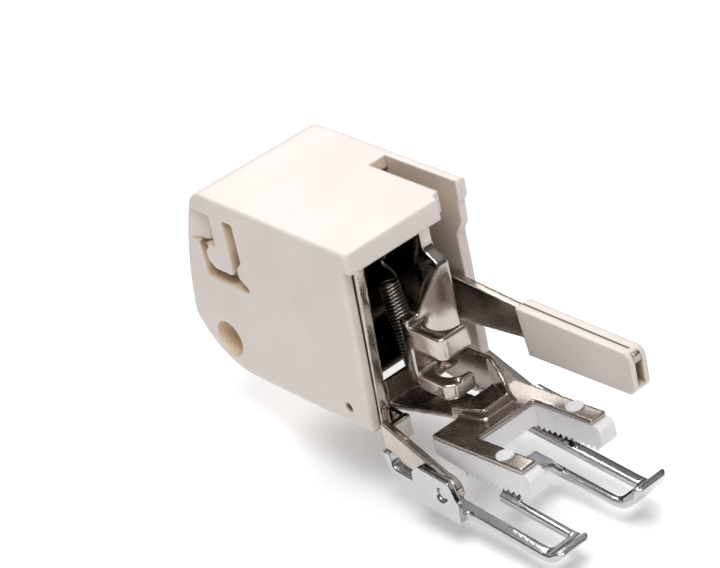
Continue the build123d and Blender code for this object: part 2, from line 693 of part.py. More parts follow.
def cross_post(place, radius):
    """A post riveted between the two frame plates."""
    with BuildPart() as post:
        with BuildSketch(side(LEFT_PLATE_OUTSIDE)):
            with Locations(place):
                Circle(radius)
        extrude(amount=RIGHT_PLATE_RIGHT - LEFT_PLATE_OUTSIDE)
    return post


spring_post = cross_post(SPRING_POST, SPRING_POST_RADIUS)
keep(spring_post, "spring_post")
rear_spacer = cross_post(SPACER, SPACER_RADIUS)
keep(rear_spacer, "rear_spacer")


# Return spring: a close-wound body with a hook at each end
SPRING_ANGLE = degrees(atan2(SPRING_POST[1] - SPRING_PIN[1], SPRING_POST[0] - SPRING_PIN[0]))
SPRING_DIRECTION = (cos(radians(SPRING_ANGLE)), sin(radians(SPRING_ANGLE)))
SPRING_SPAN = ((SPRING_POST[0] - SPRING_PIN[0]) ** 2 + (SPRING_POST[1] - SPRING_PIN[1]) ** 2) ** 0.5
SPRING_BODY_END = SPRING_SPAN - SPRING_TOP_HOOK
SPRING_TURNS = int((SPRING_BODY_END - SPRING_BOTTOM_HOOK) / SPRING_PITCH)
spring_plane = Plane(
    origin=(SPRING_X, *SPRING_PIN),
    x_dir=(1, 0, 0),
    z_dir=(0, -SPRING_DIRECTION[1], SPRING_DIRECTION[0]),
)


def hook_eye(along, inside):
    """Ring of spring wire round a pin, at a distance along the spring."""
    eye_y = SPRING_PIN[0] + along * SPRING_DIRECTION[0]
    eye_z = SPRING_PIN[1] + along * SPRING_DIRECTION[1]
    with Locations((eye_y, eye_z)):
        Circle(inside + SPRING_WIRE)
        Circle(inside, mode=Mode.SUBTRACT)


with BuildPart() as return_spring:
    with BuildSketch(spring_plane):
        with BuildLine():
            ridge = SPRING_RADIUS
            valley = SPRING_RADIUS - SPRING_WIRE / 2
            start = SPRING_BODY_END - SPRING_TURNS * SPRING_PITCH
            outline = [(0, start)]
            for turn in range(SPRING_TURNS):
                outline.append((valley, start + turn * SPRING_PITCH))
                outline.append((ridge, start + (turn + 0.5) * SPRING_PITCH))
            outline.append((valley, SPRING_BODY_END))
            outline.append((0, SPRING_BODY_END))
            Polyline(*outline, close=True)
        make_face()
    revolve(axis=Axis((SPRING_X, *SPRING_PIN), (0, *SPRING_DIRECTION)))
    with BuildSketch(side(SPRING_X - SPRING_WIRE / 2)):
        hook_eye(0, SPRING_PIN_RADIUS + SPRING_HOOK_GAP)
        hook_eye(SPRING_SPAN, SPRING_POST_RADIUS + SPRING_HOOK_GAP)
    extrude(amount=SPRING_WIRE)
    with BuildSketch(spring_plane.offset(-SPRING_WIRE / 2)):
        lower = SPRING_PIN_RADIUS + SPRING_HOOK_GAP + SPRING_WIRE / 2
        upper = SPRING_SPAN - SPRING_POST_RADIUS - SPRING_HOOK_GAP - SPRING_WIRE / 2
        with Locations((0, (lower + upper) / 2)):
            Rectangle(SPRING_WIRE, upper - lower)
    extrude(amount=SPRING_WIRE)
keep(return_spring, "return_spring")


# Lever: a tapering strip with a hub and a crank eye behind it
with BuildPart() as lever_arm:
    with BuildSketch(side(LEVER_LEFT)):
        with BuildLine():
            Polyline(
                (LEVER_PIVOT[0], LEVER_PIVOT[1] + LEVER_HUB_RADIUS),
                (LEVER_ROOT_Y, LEVER_ROOT_TOP),
                (SLEEVE_BACK_Y, LEVER_NECK_TOP),
                (LEVER_END_Y, LEVER_NECK_TOP),
                (LEVER_END_Y, LEVER_NECK_TOP - LEVER_TIP_HEIGHT),
                (LEVER_END_Y + LEVER_TIP_LENGTH, LEVER_NECK_TOP - LEVER_TIP_HEIGHT),
                (LEVER_END_Y + LEVER_TIP_LENGTH, LEVER_NECK_BOTTOM),
                (SLEEVE_BACK_Y, LEVER_NECK_BOTTOM),
                (LEVER_ROOT_Y, LEVER_ROOT_BOTTOM),
                (LEVER_PIVOT[0], LEVER_PIVOT[1] - LEVER_HUB_RADIUS),
                close=True,
            )
        make_face()
        with Locations(LEVER_PIVOT):
            Circle(LEVER_HUB_RADIUS)
        with BuildLine():
            Polyline(
                (LEVER_PIVOT[0] - CRANK_EYE, LEVER_PIVOT[1]),
                (CRANK_PIN[0] - CRANK_EYE, CRANK_PIN[1]),
                (CRANK_PIN[0] + CRANK_EYE, CRANK_PIN[1]),
                (LEVER_PIVOT[0] + LEVER_HUB_RADIUS, LEVER_PIVOT[1]),
                close=True,
            )
        make_face()
        with Locations(CRANK_PIN):
            Circle(CRANK_EYE)
            Circle(CRANK_PIN_RADIUS, mode=Mode.SUBTRACT)
        with Locations(LEVER_PIVOT):
            Circle(SHAFT_HOLE + LEVER_BUSH_WALL, mode=Mode.SUBTRACT)
    extrude(amount=LEVER_STRIP)
keep(lever_arm, "lever_arm")

# Bush pressed into the hub
with BuildPart() as lever_bush:
    with BuildSketch(side(LEVER_LEFT + LEVER_STRIP + LANE_GAP - LEVER_BUSH_LENGTH)):
        with Locations(LEVER_PIVOT):
            Circle(SHAFT_HOLE + LEVER_BUSH_WALL)
            Circle(SHAFT_HOLE, mode=Mode.SUBTRACT)
    extrude(amount=LEVER_BUSH_LENGTH)
keep(lever_bush, "lever_bush")

# Crank pin, which reaches left through the slot of the carrier's tail
with BuildPart() as crank_pin:
    with BuildSketch(side(CARRIER_INNER - LANE_GAP / 2)):
        with Locations(CRANK_PIN):
            Circle(CRANK_PIN_RADIUS)
    extrude(amount=LEVER_LEFT + LEVER_STRIP - CARRIER_INNER + LANE_GAP / 2)
keep(crank_pin, "crank_pin")

# Sleeve: a moulded trough that the strip lies in
with BuildPart() as lever_sleeve:
    with BuildSketch(side(LEVER_LEFT - SLEEVE_WALL)):
        with BuildLine():
            Polyline(
                (SLEEVE_BACK_Y, SLEEVE_TOP_BACK),
                (SLEEVE_FRONT_Y, SLEEVE_TOP_FRONT),
                (SLEEVE_FRONT_Y, SLEEVE_BOTTOM_FRONT),
                (SLEEVE_BACK_Y - SLEEVE_SLANT, SLEEVE_BOTTOM_BACK),
                close=True,
            )
        make_face()
        fillet(vertices().group_by(Axis.X)[0], SLEEVE_TIP)
    extrude(amount=LEVER_STRIP + 2 * SLEEVE_WALL)
    with BuildSketch(side(LEVER_LEFT)):
        with BuildLine():
            Polyline(
                (SLEEVE_BACK_Y + SLEEVE_WALL, LEVER_NECK_TOP),
                (SLEEVE_FRONT_Y - SLEEVE_WALL, LEVER_NECK_TOP),
                (SLEEVE_FRONT_Y - SLEEVE_WALL, LEVER_NECK_BOTTOM),
                (SLEEVE_BACK_Y + SLEEVE_WALL, LEVER_NECK_BOTTOM),
                close=True,
            )
        make_face()
    extrude(amount=LEVER_STRIP, mode=Mode.SUBTRACT)
    # Moulding slit along the top
    with BuildSketch(side(LEVER_LEFT + (LEVER_STRIP - SLEEVE_SLIT) / 2)):
        with BuildLine():
            Polyline(
                (SLEEVE_BACK_Y + SLEEVE_WALL, LEVER_NECK_TOP),
                (SLEEVE_FRONT_Y + SLEEVE_TIP, LEVER_NECK_TOP),
                (SLEEVE_FRONT_Y + SLEEVE_TIP, SLEEVE_TOP_BACK),
                (SLEEVE_BACK_Y + SLEEVE_WALL, SLEEVE_TOP_BACK),
                close=True,
            )
        make_face()
    extrude(amount=SLEEVE_SLIT, mode=Mode.SUBTRACT)
keep(lever_sleeve, "lever_sleeve")


# Sole carrier: bent from one sheet, two arms joined by a cross web
TAIL_TILT = degrees(atan2(CARRIER_PIVOT[0] - CRANK_PIN[0], CRANK_PIN[1] - CARRIER_PIVOT[1]))
CRANK_END_ANGLE = radians(CRANK_ANGLE + LEVER_TRAVEL)
CRANK_END = (
    LEVER_PIVOT[0] + CRANK_RADIUS * sin(CRANK_END_ANGLE),
    LEVER_PIVOT[1] + CRANK_RADIUS * cos(CRANK_END_ANGLE),
)
SLOT_FAR = ((CRANK_PIN[0] - CARRIER_PIVOT[0]) ** 2 + (CRANK_PIN[1] - CARRIER_PIVOT[1]) ** 2) ** 0.5
SLOT_NEAR = ((CRANK_END[0] - CARRIER_PIVOT[0]) ** 2 + (CRANK_END[1] - CARRIER_PIVOT[1]) ** 2) ** 0.5
SLOT_HALF_WIDTH = CRANK_PIN_RADIUS + SLOT_GAP
TAIL_HALF_WIDTH = SLOT_HALF_WIDTH + SLOT_WALL
TAIL_END = SLOT_FAR + SLOT_GAP + CRANK_PIN_RADIUS + SLOT_WALL
CARRIER_BACK_WEB = CARRIER_WEB_FRONT + CARRIER_WEB


def arm_outline():
    """Inner arm, from the web at its front to the eye on the shaft."""
    Polygon(
        (CARRIER_WEB_FRONT, CARRIER_WEB_BOTTOM),
        (CARRIER_WEB_FRONT, CARRIER_WEB_BOTTOM + CARRIER_INNER_HEIGHT),
        (CROSS_WEB_FRONT, CROSS_WEB_TOP),
        (CARRIER_PIVOT[0], CARRIER_PIVOT[1] + CARRIER_EYE),
        (CARRIER_PIVOT[0], CARRIER_PIVOT[1] - CARRIER_EYE),
        (CROSS_WEB_FRONT, CROSS_WEB_TOP - CARRIER_INNER_HEIGHT),
        align=None,
    )
    with Locations(CARRIER_PIVOT):
        Circle(CARRIER_EYE)


def tail_point(across, along):
    """Point of the tail: across its centre line, and along it from the shaft."""
    tilt = radians(TAIL_TILT)
    return (
        CARRIER_PIVOT[0] + across * cos(tilt) - along * sin(tilt),
        CARRIER_PIVOT[1] + across * sin(tilt) + along * cos(tilt),
    )


with BuildPart() as sole_carrier:
    with BuildSketch(side(-CARRIER_INNER_OUT)):
        arm_outline()
        with Locations(CARRIER_PIVOT):
            Circle(SHAFT_HOLE, mode=Mode.SUBTRACT)
    extrude(amount=CARRIER_SHEET)
    with BuildSketch(side(CARRIER_INNER)):
        arm_outline()
        with BuildLine():
            Polyline(
                tail_point(-TAIL_WAIST, 0),
                tail_point(-TAIL_WAIST, SLOT_NEAR - TAIL_HALF_WIDTH),
                tail_point(-TAIL_HALF_WIDTH, SLOT_NEAR),
                tail_point(-TAIL_HALF_WIDTH, TAIL_END),
                tail_point(TAIL_HALF_WIDTH, TAIL_END),
                tail_point(TAIL_HALF_WIDTH, SLOT_NEAR),
                tail_point(TAIL_WAIST, SLOT_NEAR - TAIL_HALF_WIDTH),
                tail_point(TAIL_WAIST, 0),
                close=True,
            )
        make_face()
        with BuildLine():
            Polyline(
                tail_point(-SLOT_HALF_WIDTH, SLOT_NEAR - SLOT_HALF_WIDTH),
                tail_point(-SLOT_HALF_WIDTH, SLOT_FAR + SLOT_HALF_WIDTH),
                tail_point(SLOT_HALF_WIDTH, SLOT_FAR + SLOT_HALF_WIDTH),
                tail_point(SLOT_HALF_WIDTH, SLOT_NEAR - SLOT_HALF_WIDTH),
                close=True,
            )
        make_face(mode=Mode.SUBTRACT)
        with Locations(CARRIER_PIVOT):
            Circle(SHAFT_HOLE, mode=Mode.SUBTRACT)
    extrude(amount=CARRIER_SHEET)
    with BuildSketch(side(-CARRIER_INNER)):
        with BuildLine():
            Polyline(
                (CROSS_WEB_FRONT, CROSS_WEB_TOP),
                (CROSS_WEB_FRONT, CROSS_WEB_TOP - CARRIER_SHEET),
                (CROSS_WEB_BACK, CROSS_WEB_TOP - CARRIER_SHEET),
                (CROSS_WEB_BACK, CROSS_WEB_TOP),
                close=True,
            )
        make_face()
    extrude(amount=2 * CARRIER_INNER)
    # Each arm steps outward in front of the frame plates, then runs down to its rivet
    for hand in (-1, 1):
        web_middle = hand * (CARRIER_INNER + CARRIER_OUTER_OUT) / 2
        with BuildSketch(front(CARRIER_BACK_WEB)):
            with Locations((web_middle, (CARRIER_WEB_TOP + CARRIER_WEB_BOTTOM) / 2)):
                Rectangle(CARRIER_OUTER_OUT - CARRIER_INNER, CARRIER_WEB_TOP - CARRIER_WEB_BOTTOM)
        extrude(amount=CARRIER_WEB)
        with BuildSketch(side(CARRIER_OUTER if hand > 0 else -CARRIER_OUTER_OUT)):
            with BuildLine():
                Polyline(
                    (SOLE_PIVOT[0], SOLE_PIVOT[1] + CARRIER_ARM_CROWN),
                    (CARRIER_BACK_WEB, CARRIER_ARM_TOP),
                    (CARRIER_BACK_WEB, CARRIER_ARM_BOTTOM),
                    (SOLE_PIVOT[0], SOLE_PIVOT[1] - CARRIER_ARM_END),
                )
                ThreePointArc(
                    (SOLE_PIVOT[0], SOLE_PIVOT[1] - CARRIER_ARM_END),
                    (SOLE_PIVOT[0] - CARRIER_ARM_CROWN, SOLE_PIVOT[1]),
                    (SOLE_PIVOT[0], SOLE_PIVOT[1] + CARRIER_ARM_CROWN),
                )
            make_face()
            with Locations(SOLE_PIVOT):
                Circle(RIVET_RADIUS, mode=Mode.SUBTRACT)
        extrude(amount=CARRIER_OUTER_SHEET)
keep(sole_carrier, "sole_carrier")


def sole_rivet(hand):
    """Pivot rivet: headed inside the arm, flush with the sole's ear outside."""
    with BuildPart() as rivet:
        with BuildSketch(side(hand * CARRIER_OUTER)):
            with Locations(SOLE_PIVOT):
                Circle(RIVET_RADIUS)
        extrude(amount=hand * (EAR_LEFT + EAR_SHEET - CARRIER_OUTER))
        with BuildSketch(side(hand * CARRIER_OUTER)):
            with Locations(SOLE_PIVOT):
                Circle(RIVET_HEAD_RADIUS)
        extrude(amount=-hand * RIVET_HEAD)
    return rivet


sole_rivet_left = sole_rivet(-1)
keep(sole_rivet_left, "sole_rivet_left")
sole_rivet_right = sole_rivet(1)
keep(sole_rivet_right, "sole_rivet_right")


# Sole: one sheet, curled up at toe and heel, cut into two hooked toe loops
HEEL_FLAT = HEEL_BACK - HEEL_CURL
TOES = (
    (-1, TOE_FRONT_LEFT, TOE_CURL_LEFT, TOE_RISE_LEFT),
    (1, TOE_FRONT_RIGHT, TOE_CURL_RIGHT, TOE_RISE_RIGHT),
)
toe_loops = []
for hand, toe_front, toe_curl, toe_rise in TOES:
    toe_flat = toe_front + toe_curl
    toe_tip = SOLE_TOP + toe_rise
    heel_tip = SOLE_TOP + HEEL_RISE
    with BuildPart() as toe_loop:
        with BuildSketch(sole_side(0)):
            with BuildLine():
                Spline((toe_front, toe_tip), (toe_flat, SOLE_TOP), tangents=((0.5, -1), (1, 0)))
                Line((toe_flat, SOLE_TOP), (HEEL_FLAT, SOLE_TOP))
                Spline(
                    (HEEL_FLAT, SOLE_TOP),
                    (HEEL_BACK - SOLE_SHEET, heel_tip),
                    tangents=((1, 0), (0.3, 1)),
                )
                Line((HEEL_BACK - SOLE_SHEET, heel_tip), (HEEL_BACK, heel_tip))
                Spline((HEEL_BACK, heel_tip), (HEEL_FLAT, SOLE_BOTTOM), tangents=((-0.3, -1), (-1, 0)))
                Line((HEEL_FLAT, SOLE_BOTTOM), (toe_flat, SOLE_BOTTOM))
                Spline(
                    (toe_flat, SOLE_BOTTOM),
                    (toe_front - SOLE_SHEET, toe_tip),
                    tangents=((-1, 0), (-0.5, 1)),
                )
                Line((toe_front - SOLE_SHEET, toe_tip), (toe_front, toe_tip))
            make_face()
        extrude(amount=hand * SOLE_HALF_WIDTH)
        # Plan of the loop, open at the back of its slot for the feeder
        with BuildSketch(sole_plan(SOLE_BOTTOM)) as plan:
            with BuildLine():
                outer = hand * SOLE_HALF_WIDTH
                inner = hand * NEEDLE_HALF_GAP
                outer_slot = outer - hand * TOE_RAIL
                inner_slot = inner + hand * INNER_RAIL
                Polyline(
                    (outer, HEEL_BACK),
                    (outer, toe_front - SOLE_SHEET),
                    (inner, toe_front - SOLE_SHEET),
                    (inner, BRIDGE_BACK),
                    (inner_slot, BRIDGE_BACK),
                    (inner_slot, TOE_SLOT_FRONT),
                    (outer_slot, TOE_SLOT_FRONT),
                    (outer_slot, HEEL_BACK),
                    close=True,
                )
            make_face()
            fillet(plan.vertices().group_by(Axis.Y)[1], SLOT_CORNER)
            fillet(plan.vertices().group_by(Axis.Y)[0], TOE_CORNER)
        extrude(amount=EAR_TOP - SOLE_BOTTOM, mode=Mode.INTERSECT)
        seams = toe_loop.edges().filter_by(lambda edge: edge.length < SEAM).filter_by(GeomType.LINE)
        fillet(toe_loop.edges() - seams, SHEET_ROUND)
    toe_loops.append(toe_loop.part)

with BuildPart() as sole:
    add(toe_loops)
    # Raised bridge between the two inner rails
    bridge_plane = Plane(
        origin=sole_plan(0).from_local_coords((0, BRIDGE_BACK, 0)),
        x_dir=(1, 0, 0),
        z_dir=-Vector(sole_plan(0).y_dir),
    )
    with BuildSketch(bridge_plane) as bridge:
        with BuildLine():
            reach = NEEDLE_HALF_GAP + INNER_RAIL / 2
            crown = SOLE_TOP + BRIDGE_RISE
            under = BRIDGE_CROWN - SOLE_SHEET / 2
            Polyline(
                (-reach, SOLE_TOP),
                (-BRIDGE_CROWN, crown),
                (BRIDGE_CROWN, crown),
                (reach, SOLE_TOP),
                (reach, SOLE_BOTTOM),
                (under, crown - SOLE_SHEET),
                (-under, crown - SOLE_SHEET),
                (-reach, SOLE_BOTTOM),
                close=True,
            )
        make_face()
        fillet(bridge.vertices().group_by(Axis.Y)[-1], BRIDGE_BEND)
        fillet(bridge.vertices().filter_by(lambda corner: abs(corner.Y - crown + SOLE_SHEET) < SHEET_ROUND), BRIDGE_BEND)
    extrude(amount=BRIDGE_LENGTH)
    # Ears folded up outside the carrier's arms
    for hand in (-1, 1):
        with BuildSketch(sole_side(EAR_LEFT if hand > 0 else -EAR_LEFT - EAR_SHEET)):
            with BuildLine():
                Polyline(
                    (EAR_FRONT, SOLE_BOTTOM),
                    (EAR_FRONT, EAR_TOP - 2 * EAR_CHAMFER),
                    (EAR_FRONT + EAR_CHAMFER, EAR_TOP),
                    (EAR_BACK - EAR_CHAMFER, EAR_TOP),
                    (EAR_BACK, EAR_TOP - EAR_CHAMFER),
                    (EAR_BACK, SOLE_BOTTOM),
                    close=True,
                )
            make_face()
            Circle(RIVET_RADIUS + RUNNING_GAP, mode=Mode.SUBTRACT)
        extrude(amount=EAR_SHEET)
        with BuildSketch(sole_side(hand * (EAR_LEFT + EAR_SHEET))):
            Circle(RIVET_RADIUS + RUNNING_GAP + EAR_COUNTERSINK)
        extrude(amount=-hand * EAR_COUNTERSINK, taper=45, mode=Mode.SUBTRACT)
        with BuildSketch(sole_plan(SOLE_BOTTOM)):
            tab_middle = hand * (SOLE_HALF_WIDTH - TOE_RAIL / 2 + EAR_LEFT) / 2
            tab_width = EAR_LEFT - SOLE_HALF_WIDTH + TOE_RAIL / 2
            with Locations((tab_middle, (EAR_FRONT + EAR_BACK) / 2)):
                Rectangle(tab_width, EAR_BACK - EAR_FRONT)
        extrude(amount=SOLE_SHEET)
keep(sole, "sole")


# Feeder bracket: U-plate, rimmed tray, and one arm up to the swing shaft
FEED_ARM_RIGHT = FEED_ARM_LEFT + FEED_ARM_SHEET
LEG_MIDDLE = FEED_HALF_WIDTH - FEED_LEG / 2


def u_plan(length):
    """Plan of the plate and the pad: a cross beam with two legs."""
    with Locations((0, -FEED_CROSS / 2)):
        Rectangle(2 * FEED_HALF_WIDTH, FEED_CROSS)
    with Locations((-LEG_MIDDLE, -length / 2), (LEG_MIDDLE, -length / 2)):
        Rectangle(FEED_LEG, length)


def peg_places():
    """The two pegs that stake the pad to the plate."""
    nose = PEG_FROM_NOSE - FEED_PLATE_LENGTH
    return [(-LEG_MIDDLE, nose), (LEG_MIDDLE, nose)]


# Arm: a cheek that leaves the tray on a slant, then runs back and up to the swing shaft
with BuildPart() as feed_arm:
    local_hub = feed_side(0).to_local_coords(Vector(0, *SWING_PIVOT))
    with BuildSketch(feed_side(TRAY_FRONT_RIGHT - TRAY_SHEET)):
        with BuildLine():
            Line((TRAY_FRONT, 0), (TRAY_FRONT, TRAY_RIM))
            TangentArc((TRAY_FRONT, TRAY_RIM), (TRAY_BACK, FEED_ARM_TOP), tangent=(0.3, 1))
            Polyline(
                (TRAY_BACK, FEED_ARM_TOP),
                (FEED_ARM_BACK, FEED_ARM_TOP),
                (local_hub.X - FEED_HUB_RADIUS, local_hub.Y),
                (local_hub.X + FEED_HUB_RADIUS, local_hub.Y),
                (FEED_ARM_BACK + FEED_ARM_WIDTH, FEED_ARM_TOP - FEED_ARM_WIDTH),
                (FEED_ARM_BACK, -FEED_PLATE),
                (0, -FEED_PLATE),
                (TRAY_FRONT, 0),
            )
        make_face()
        with Locations((local_hub.X, local_hub.Y)):
            Circle(FEED_HUB_RADIUS + LANE_GAP)
            Circle(FEED_HUB_RADIUS - LEVER_BUSH_WALL / 2, mode=Mode.SUBTRACT)
    extrude(amount=FEED_ARM_RIGHT - TRAY_FRONT_RIGHT + TRAY_SHEET)
    with BuildSketch(feed_plan(-FEED_ARM_BACK)):
        with BuildLine():
            Polyline(
                (TRAY_FRONT_RIGHT - TRAY_SHEET, TRAY_FRONT),
                (FEED_ARM_LEFT, TRAY_BACK),
                (FEED_ARM_LEFT, 2 * local_hub.X),
                (FEED_ARM_RIGHT, 2 * local_hub.X),
                (FEED_ARM_RIGHT, TRAY_BACK),
                (TRAY_FRONT_RIGHT, TRAY_FRONT),
                close=True,
            )
        make_face()
    extrude(amount=2 * local_hub.Y, mode=Mode.INTERSECT)

with BuildPart() as feed_bracket:
    with BuildSketch(feed_plan(-FEED_PLATE)):
        u_plan(FEED_PLATE_LENGTH)
        with Locations(*peg_places()):
            Circle(PEG_RADIUS, mode=Mode.SUBTRACT)
    extrude(amount=FEED_PLATE)
    # Tray with a raised rim, in front of the presser bar
    tray = [
        (TRAY_LEFT, TRAY_BACK),
        (TRAY_FRONT_LEFT, TRAY_FRONT),
        (TRAY_FRONT_RIGHT, TRAY_FRONT),
        (FEED_ARM_LEFT, TRAY_BACK),
    ]
    with BuildSketch(feed_plan(0)) as tray_plan:
        Polygon(*tray, align=None)
        fillet(tray_plan.vertices().group_by(Axis.Y)[0].sort_by(Axis.X)[0], TRAY_CORNER)
    extrude(amount=TRAY_RIM)
    with BuildSketch(feed_plan(TRAY_FLOOR)) as tray_hollow:
        Polygon(
            (TRAY_LEFT + TRAY_SHEET, TRAY_BACK),
            (TRAY_FRONT_LEFT + TRAY_SHEET, TRAY_FRONT + TRAY_SHEET),
            (TRAY_FRONT_RIGHT, TRAY_FRONT + TRAY_SHEET),
            (FEED_ARM_LEFT, TRAY_BACK),
            align=None,
        )
        fillet(tray_hollow.vertices().group_by(Axis.Y)[0].sort_by(Axis.X)[0], TRAY_CORNER / 2)
    extrude(amount=TRAY_RIM, mode=Mode.SUBTRACT)
    add(feed_arm.part)
    # Tab that runs back under the shank, with a lip turned up behind the spring pin
    with BuildSketch(feed_plan(-FEED_PLATE)):
        with BuildLine():
            Polyline(
                (TRAY_FRONT_LEFT, TRAY_FRONT),
                (FEED_TAB_LEFT, FEED_TAB_BACK - FEED_TAB_FLARE),
                (FEED_TAB_LEFT, FEED_TAB_BACK),
                (FEED_TAB_RIGHT, FEED_TAB_BACK),
                (FEED_TAB_RIGHT, TRAY_FRONT),
                close=True,
            )
        make_face()
    extrude(amount=FEED_PLATE)
    with BuildSketch(feed_plan(-FEED_PLATE)):
        with BuildLine():
            Polyline(
                (FEED_TAB_LEFT, FEED_TAB_BACK - FEED_PLATE),
                (FEED_TAB_LEFT, FEED_TAB_BACK),
                (FEED_TAB_RIGHT, FEED_TAB_BACK),
                (FEED_TAB_RIGHT, FEED_TAB_BACK - FEED_PLATE),
                close=True,
            )
        make_face()
    extrude(amount=FEED_PLATE + FEED_TAB_LIP)
    with BuildSketch(side(FEED_ARM_LEFT)):
        with Locations(SPRING_PIN):
            Circle(SPRING_PIN_RADIUS)
    extrude(amount=FEED_ARM_SHEET, mode=Mode.SUBTRACT)
keep(feed_bracket, "feed_bracket")

# Hub of the arm, turning on the swing shaft
with BuildPart() as feed_hub:
    with BuildSketch(side(FEED_ARM_LEFT)):
        with Locations(SWING_PIVOT):
            Circle(FEED_HUB_RADIUS - LEVER_BUSH_WALL / 2)
            Circle(SHAFT_HOLE, mode=Mode.SUBTRACT)
    extrude(amount=FEED_HUB_LENGTH)
keep(feed_hub, "feed_hub")

# Pin for the lower hook of the return spring
with BuildPart() as feed_spring_pin:
    with BuildSketch(side(SPRING_X - SPRING_WIRE)):
        with Locations(SPRING_PIN):
            Circle(SPRING_PIN_RADIUS)
    extrude(amount=FEED_ARM_RIGHT - SPRING_X + SPRING_WIRE)
keep(feed_spring_pin, "feed_spring_pin")

# Toothed pad: nylon, staked to the plate by three pegs
with BuildPart() as feed_pad:
    for hand in (-1, 1):
        with BuildSketch(feed_side(hand * LEG_MIDDLE - FEED_LEG / 2)):
            with BuildLine():
                nose = -FEED_PAD_LENGTH
                low = -FEED_PLATE - FEED_PAD_HEIGHT
                toothed = TOOTH_COUNT * TOOTH_PITCH
                first = nose + PAD_NOSE_ROUND
                outline = [(0, -FEED_PLATE), (0, low + PAD_REAR_RISE)]
                outline.append((first + toothed, low))
                for tooth in range(TOOTH_COUNT, 0, -1):
                    outline.append((first + (tooth - 0.25) * TOOTH_PITCH, low - TOOTH_HEIGHT))
                    outline.append((first + (tooth - 1) * TOOTH_PITCH, low))
                outline.append((nose, low + PAD_NOSE_ROUND))
                outline.append((nose, -FEED_PLATE - PAD_NOSE_ROUND))
                outline.append((nose + PAD_NOSE_ROUND, -FEED_PLATE))
                Polyline(*outline, close=True)
            make_face()
        extrude(amount=FEED_LEG)
    with BuildSketch(feed_plan(-FEED_PLATE)):
        with Locations((0, -FEED_CROSS / 2)):
            Rectangle(2 * LEG_MIDDLE, FEED_CROSS)
    extrude(amount=-FEED_CROSS_HEIGHT)
    with BuildSketch(feed_plan(-FEED_PLATE)):
        with Locations(*peg_places()):
            Circle(PEG_RADIUS)
    extrude(amount=FEED_PLATE)
    with BuildSketch(feed_plan(0)):
        with Locations(*peg_places()[:2]):
            Circle(PEG_RADIUS + PEG_HEAD)
    extrude(amount=PEG_HEAD)
keep(feed_pad, "feed_pad")
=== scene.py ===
# %% [markdown]
# # A walking presser foot, dressed for its portrait
#
# The solids of the foot come from CAD and stay where they are. This lesson gives each one
# the finish of the real thing, winds the return spring as a true coil, rounds the edges of the
# stampings, sinks the sole's rivets, and sets up the light and the camera.

# %% Load the solids
import bmesh
import bpy
import numpy as np
from mathutils import Matrix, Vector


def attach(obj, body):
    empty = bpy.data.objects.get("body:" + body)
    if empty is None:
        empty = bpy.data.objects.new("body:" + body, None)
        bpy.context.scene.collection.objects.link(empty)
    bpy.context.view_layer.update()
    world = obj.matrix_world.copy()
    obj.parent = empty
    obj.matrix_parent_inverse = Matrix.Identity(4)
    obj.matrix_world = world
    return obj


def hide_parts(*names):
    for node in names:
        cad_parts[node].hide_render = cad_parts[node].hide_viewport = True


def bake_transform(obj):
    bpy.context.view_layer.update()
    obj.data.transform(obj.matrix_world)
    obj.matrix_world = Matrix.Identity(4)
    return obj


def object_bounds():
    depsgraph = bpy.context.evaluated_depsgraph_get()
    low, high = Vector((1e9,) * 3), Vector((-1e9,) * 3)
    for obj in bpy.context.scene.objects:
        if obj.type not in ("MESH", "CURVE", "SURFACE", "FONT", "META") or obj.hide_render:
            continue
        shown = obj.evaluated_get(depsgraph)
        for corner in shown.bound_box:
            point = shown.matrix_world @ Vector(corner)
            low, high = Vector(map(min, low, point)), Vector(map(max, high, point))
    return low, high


MM = 0.001

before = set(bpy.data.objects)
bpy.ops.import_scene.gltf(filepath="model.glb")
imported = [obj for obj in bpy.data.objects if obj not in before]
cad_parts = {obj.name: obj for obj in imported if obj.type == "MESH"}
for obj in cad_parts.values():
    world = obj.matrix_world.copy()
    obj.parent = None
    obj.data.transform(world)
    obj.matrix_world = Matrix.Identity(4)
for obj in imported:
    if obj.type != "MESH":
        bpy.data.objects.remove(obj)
cad_low, cad_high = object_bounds()
cad_size = [round((most - least) / MM, 1) for least, most in zip(cad_low, cad_high)]
print("nodes", len(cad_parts), "size in mm", cad_size)

# %% [markdown]
# ## Small helpers for materials
#
# A material is a graph of nodes. One helper turns a paint-chart colour (sRGB hex) into the
# linear numbers that a shader works with, and one adds a node with its settings and links,
# so that each finish below reads as a short recipe. A node that mixes colours has them in
# sockets 6 and 7 and its result in output 2.

# %% Colour and node helpers
MIX_A, MIX_B, MIX_OUT = 6, 7, 2


def linear(hex_colour):
    """sRGB hex to linear RGBA: the low part is divided by 12.92, the rest is a power of 2.4."""
    srgb = np.array([int(hex_colour[i:i + 2], 16) for i in (1, 3, 5)]) / 255
    rgb = np.where(srgb <= 0.04045, srgb / 12.92, ((srgb + 0.055) / 1.055) ** 2.4)
    return (*rgb.tolist(), 1.0)


def add(tree, kind, inputs=None, **settings):
    """Add a node: settings are its properties, inputs its values or other nodes' outputs."""
    node = tree.nodes.new(kind)
    for key, value in settings.items():
        setattr(node, key, value)
    for key, value in (inputs or {}).items():
        if isinstance(value, bpy.types.NodeSocket):
            tree.links.new(value, node.inputs[key])
        else:
            node.inputs[key].default_value = value
    return node


def new_material(name):
    """An empty material with its tree, its surface shader and its object coordinates."""
    material = bpy.data.materials.new(name)
    material.use_nodes = True
    tree = material.node_tree
    tree.nodes.clear()
    shader = add(tree, "ShaderNodeBsdfPrincipled")
    add(tree, "ShaderNodeOutputMaterial", {"Surface": shader.outputs["BSDF"]})
    place = add(tree, "ShaderNodeTexCoord").outputs["Object"]
    return material, tree, shader, place


print("white is", linear("#FFFFFF"))

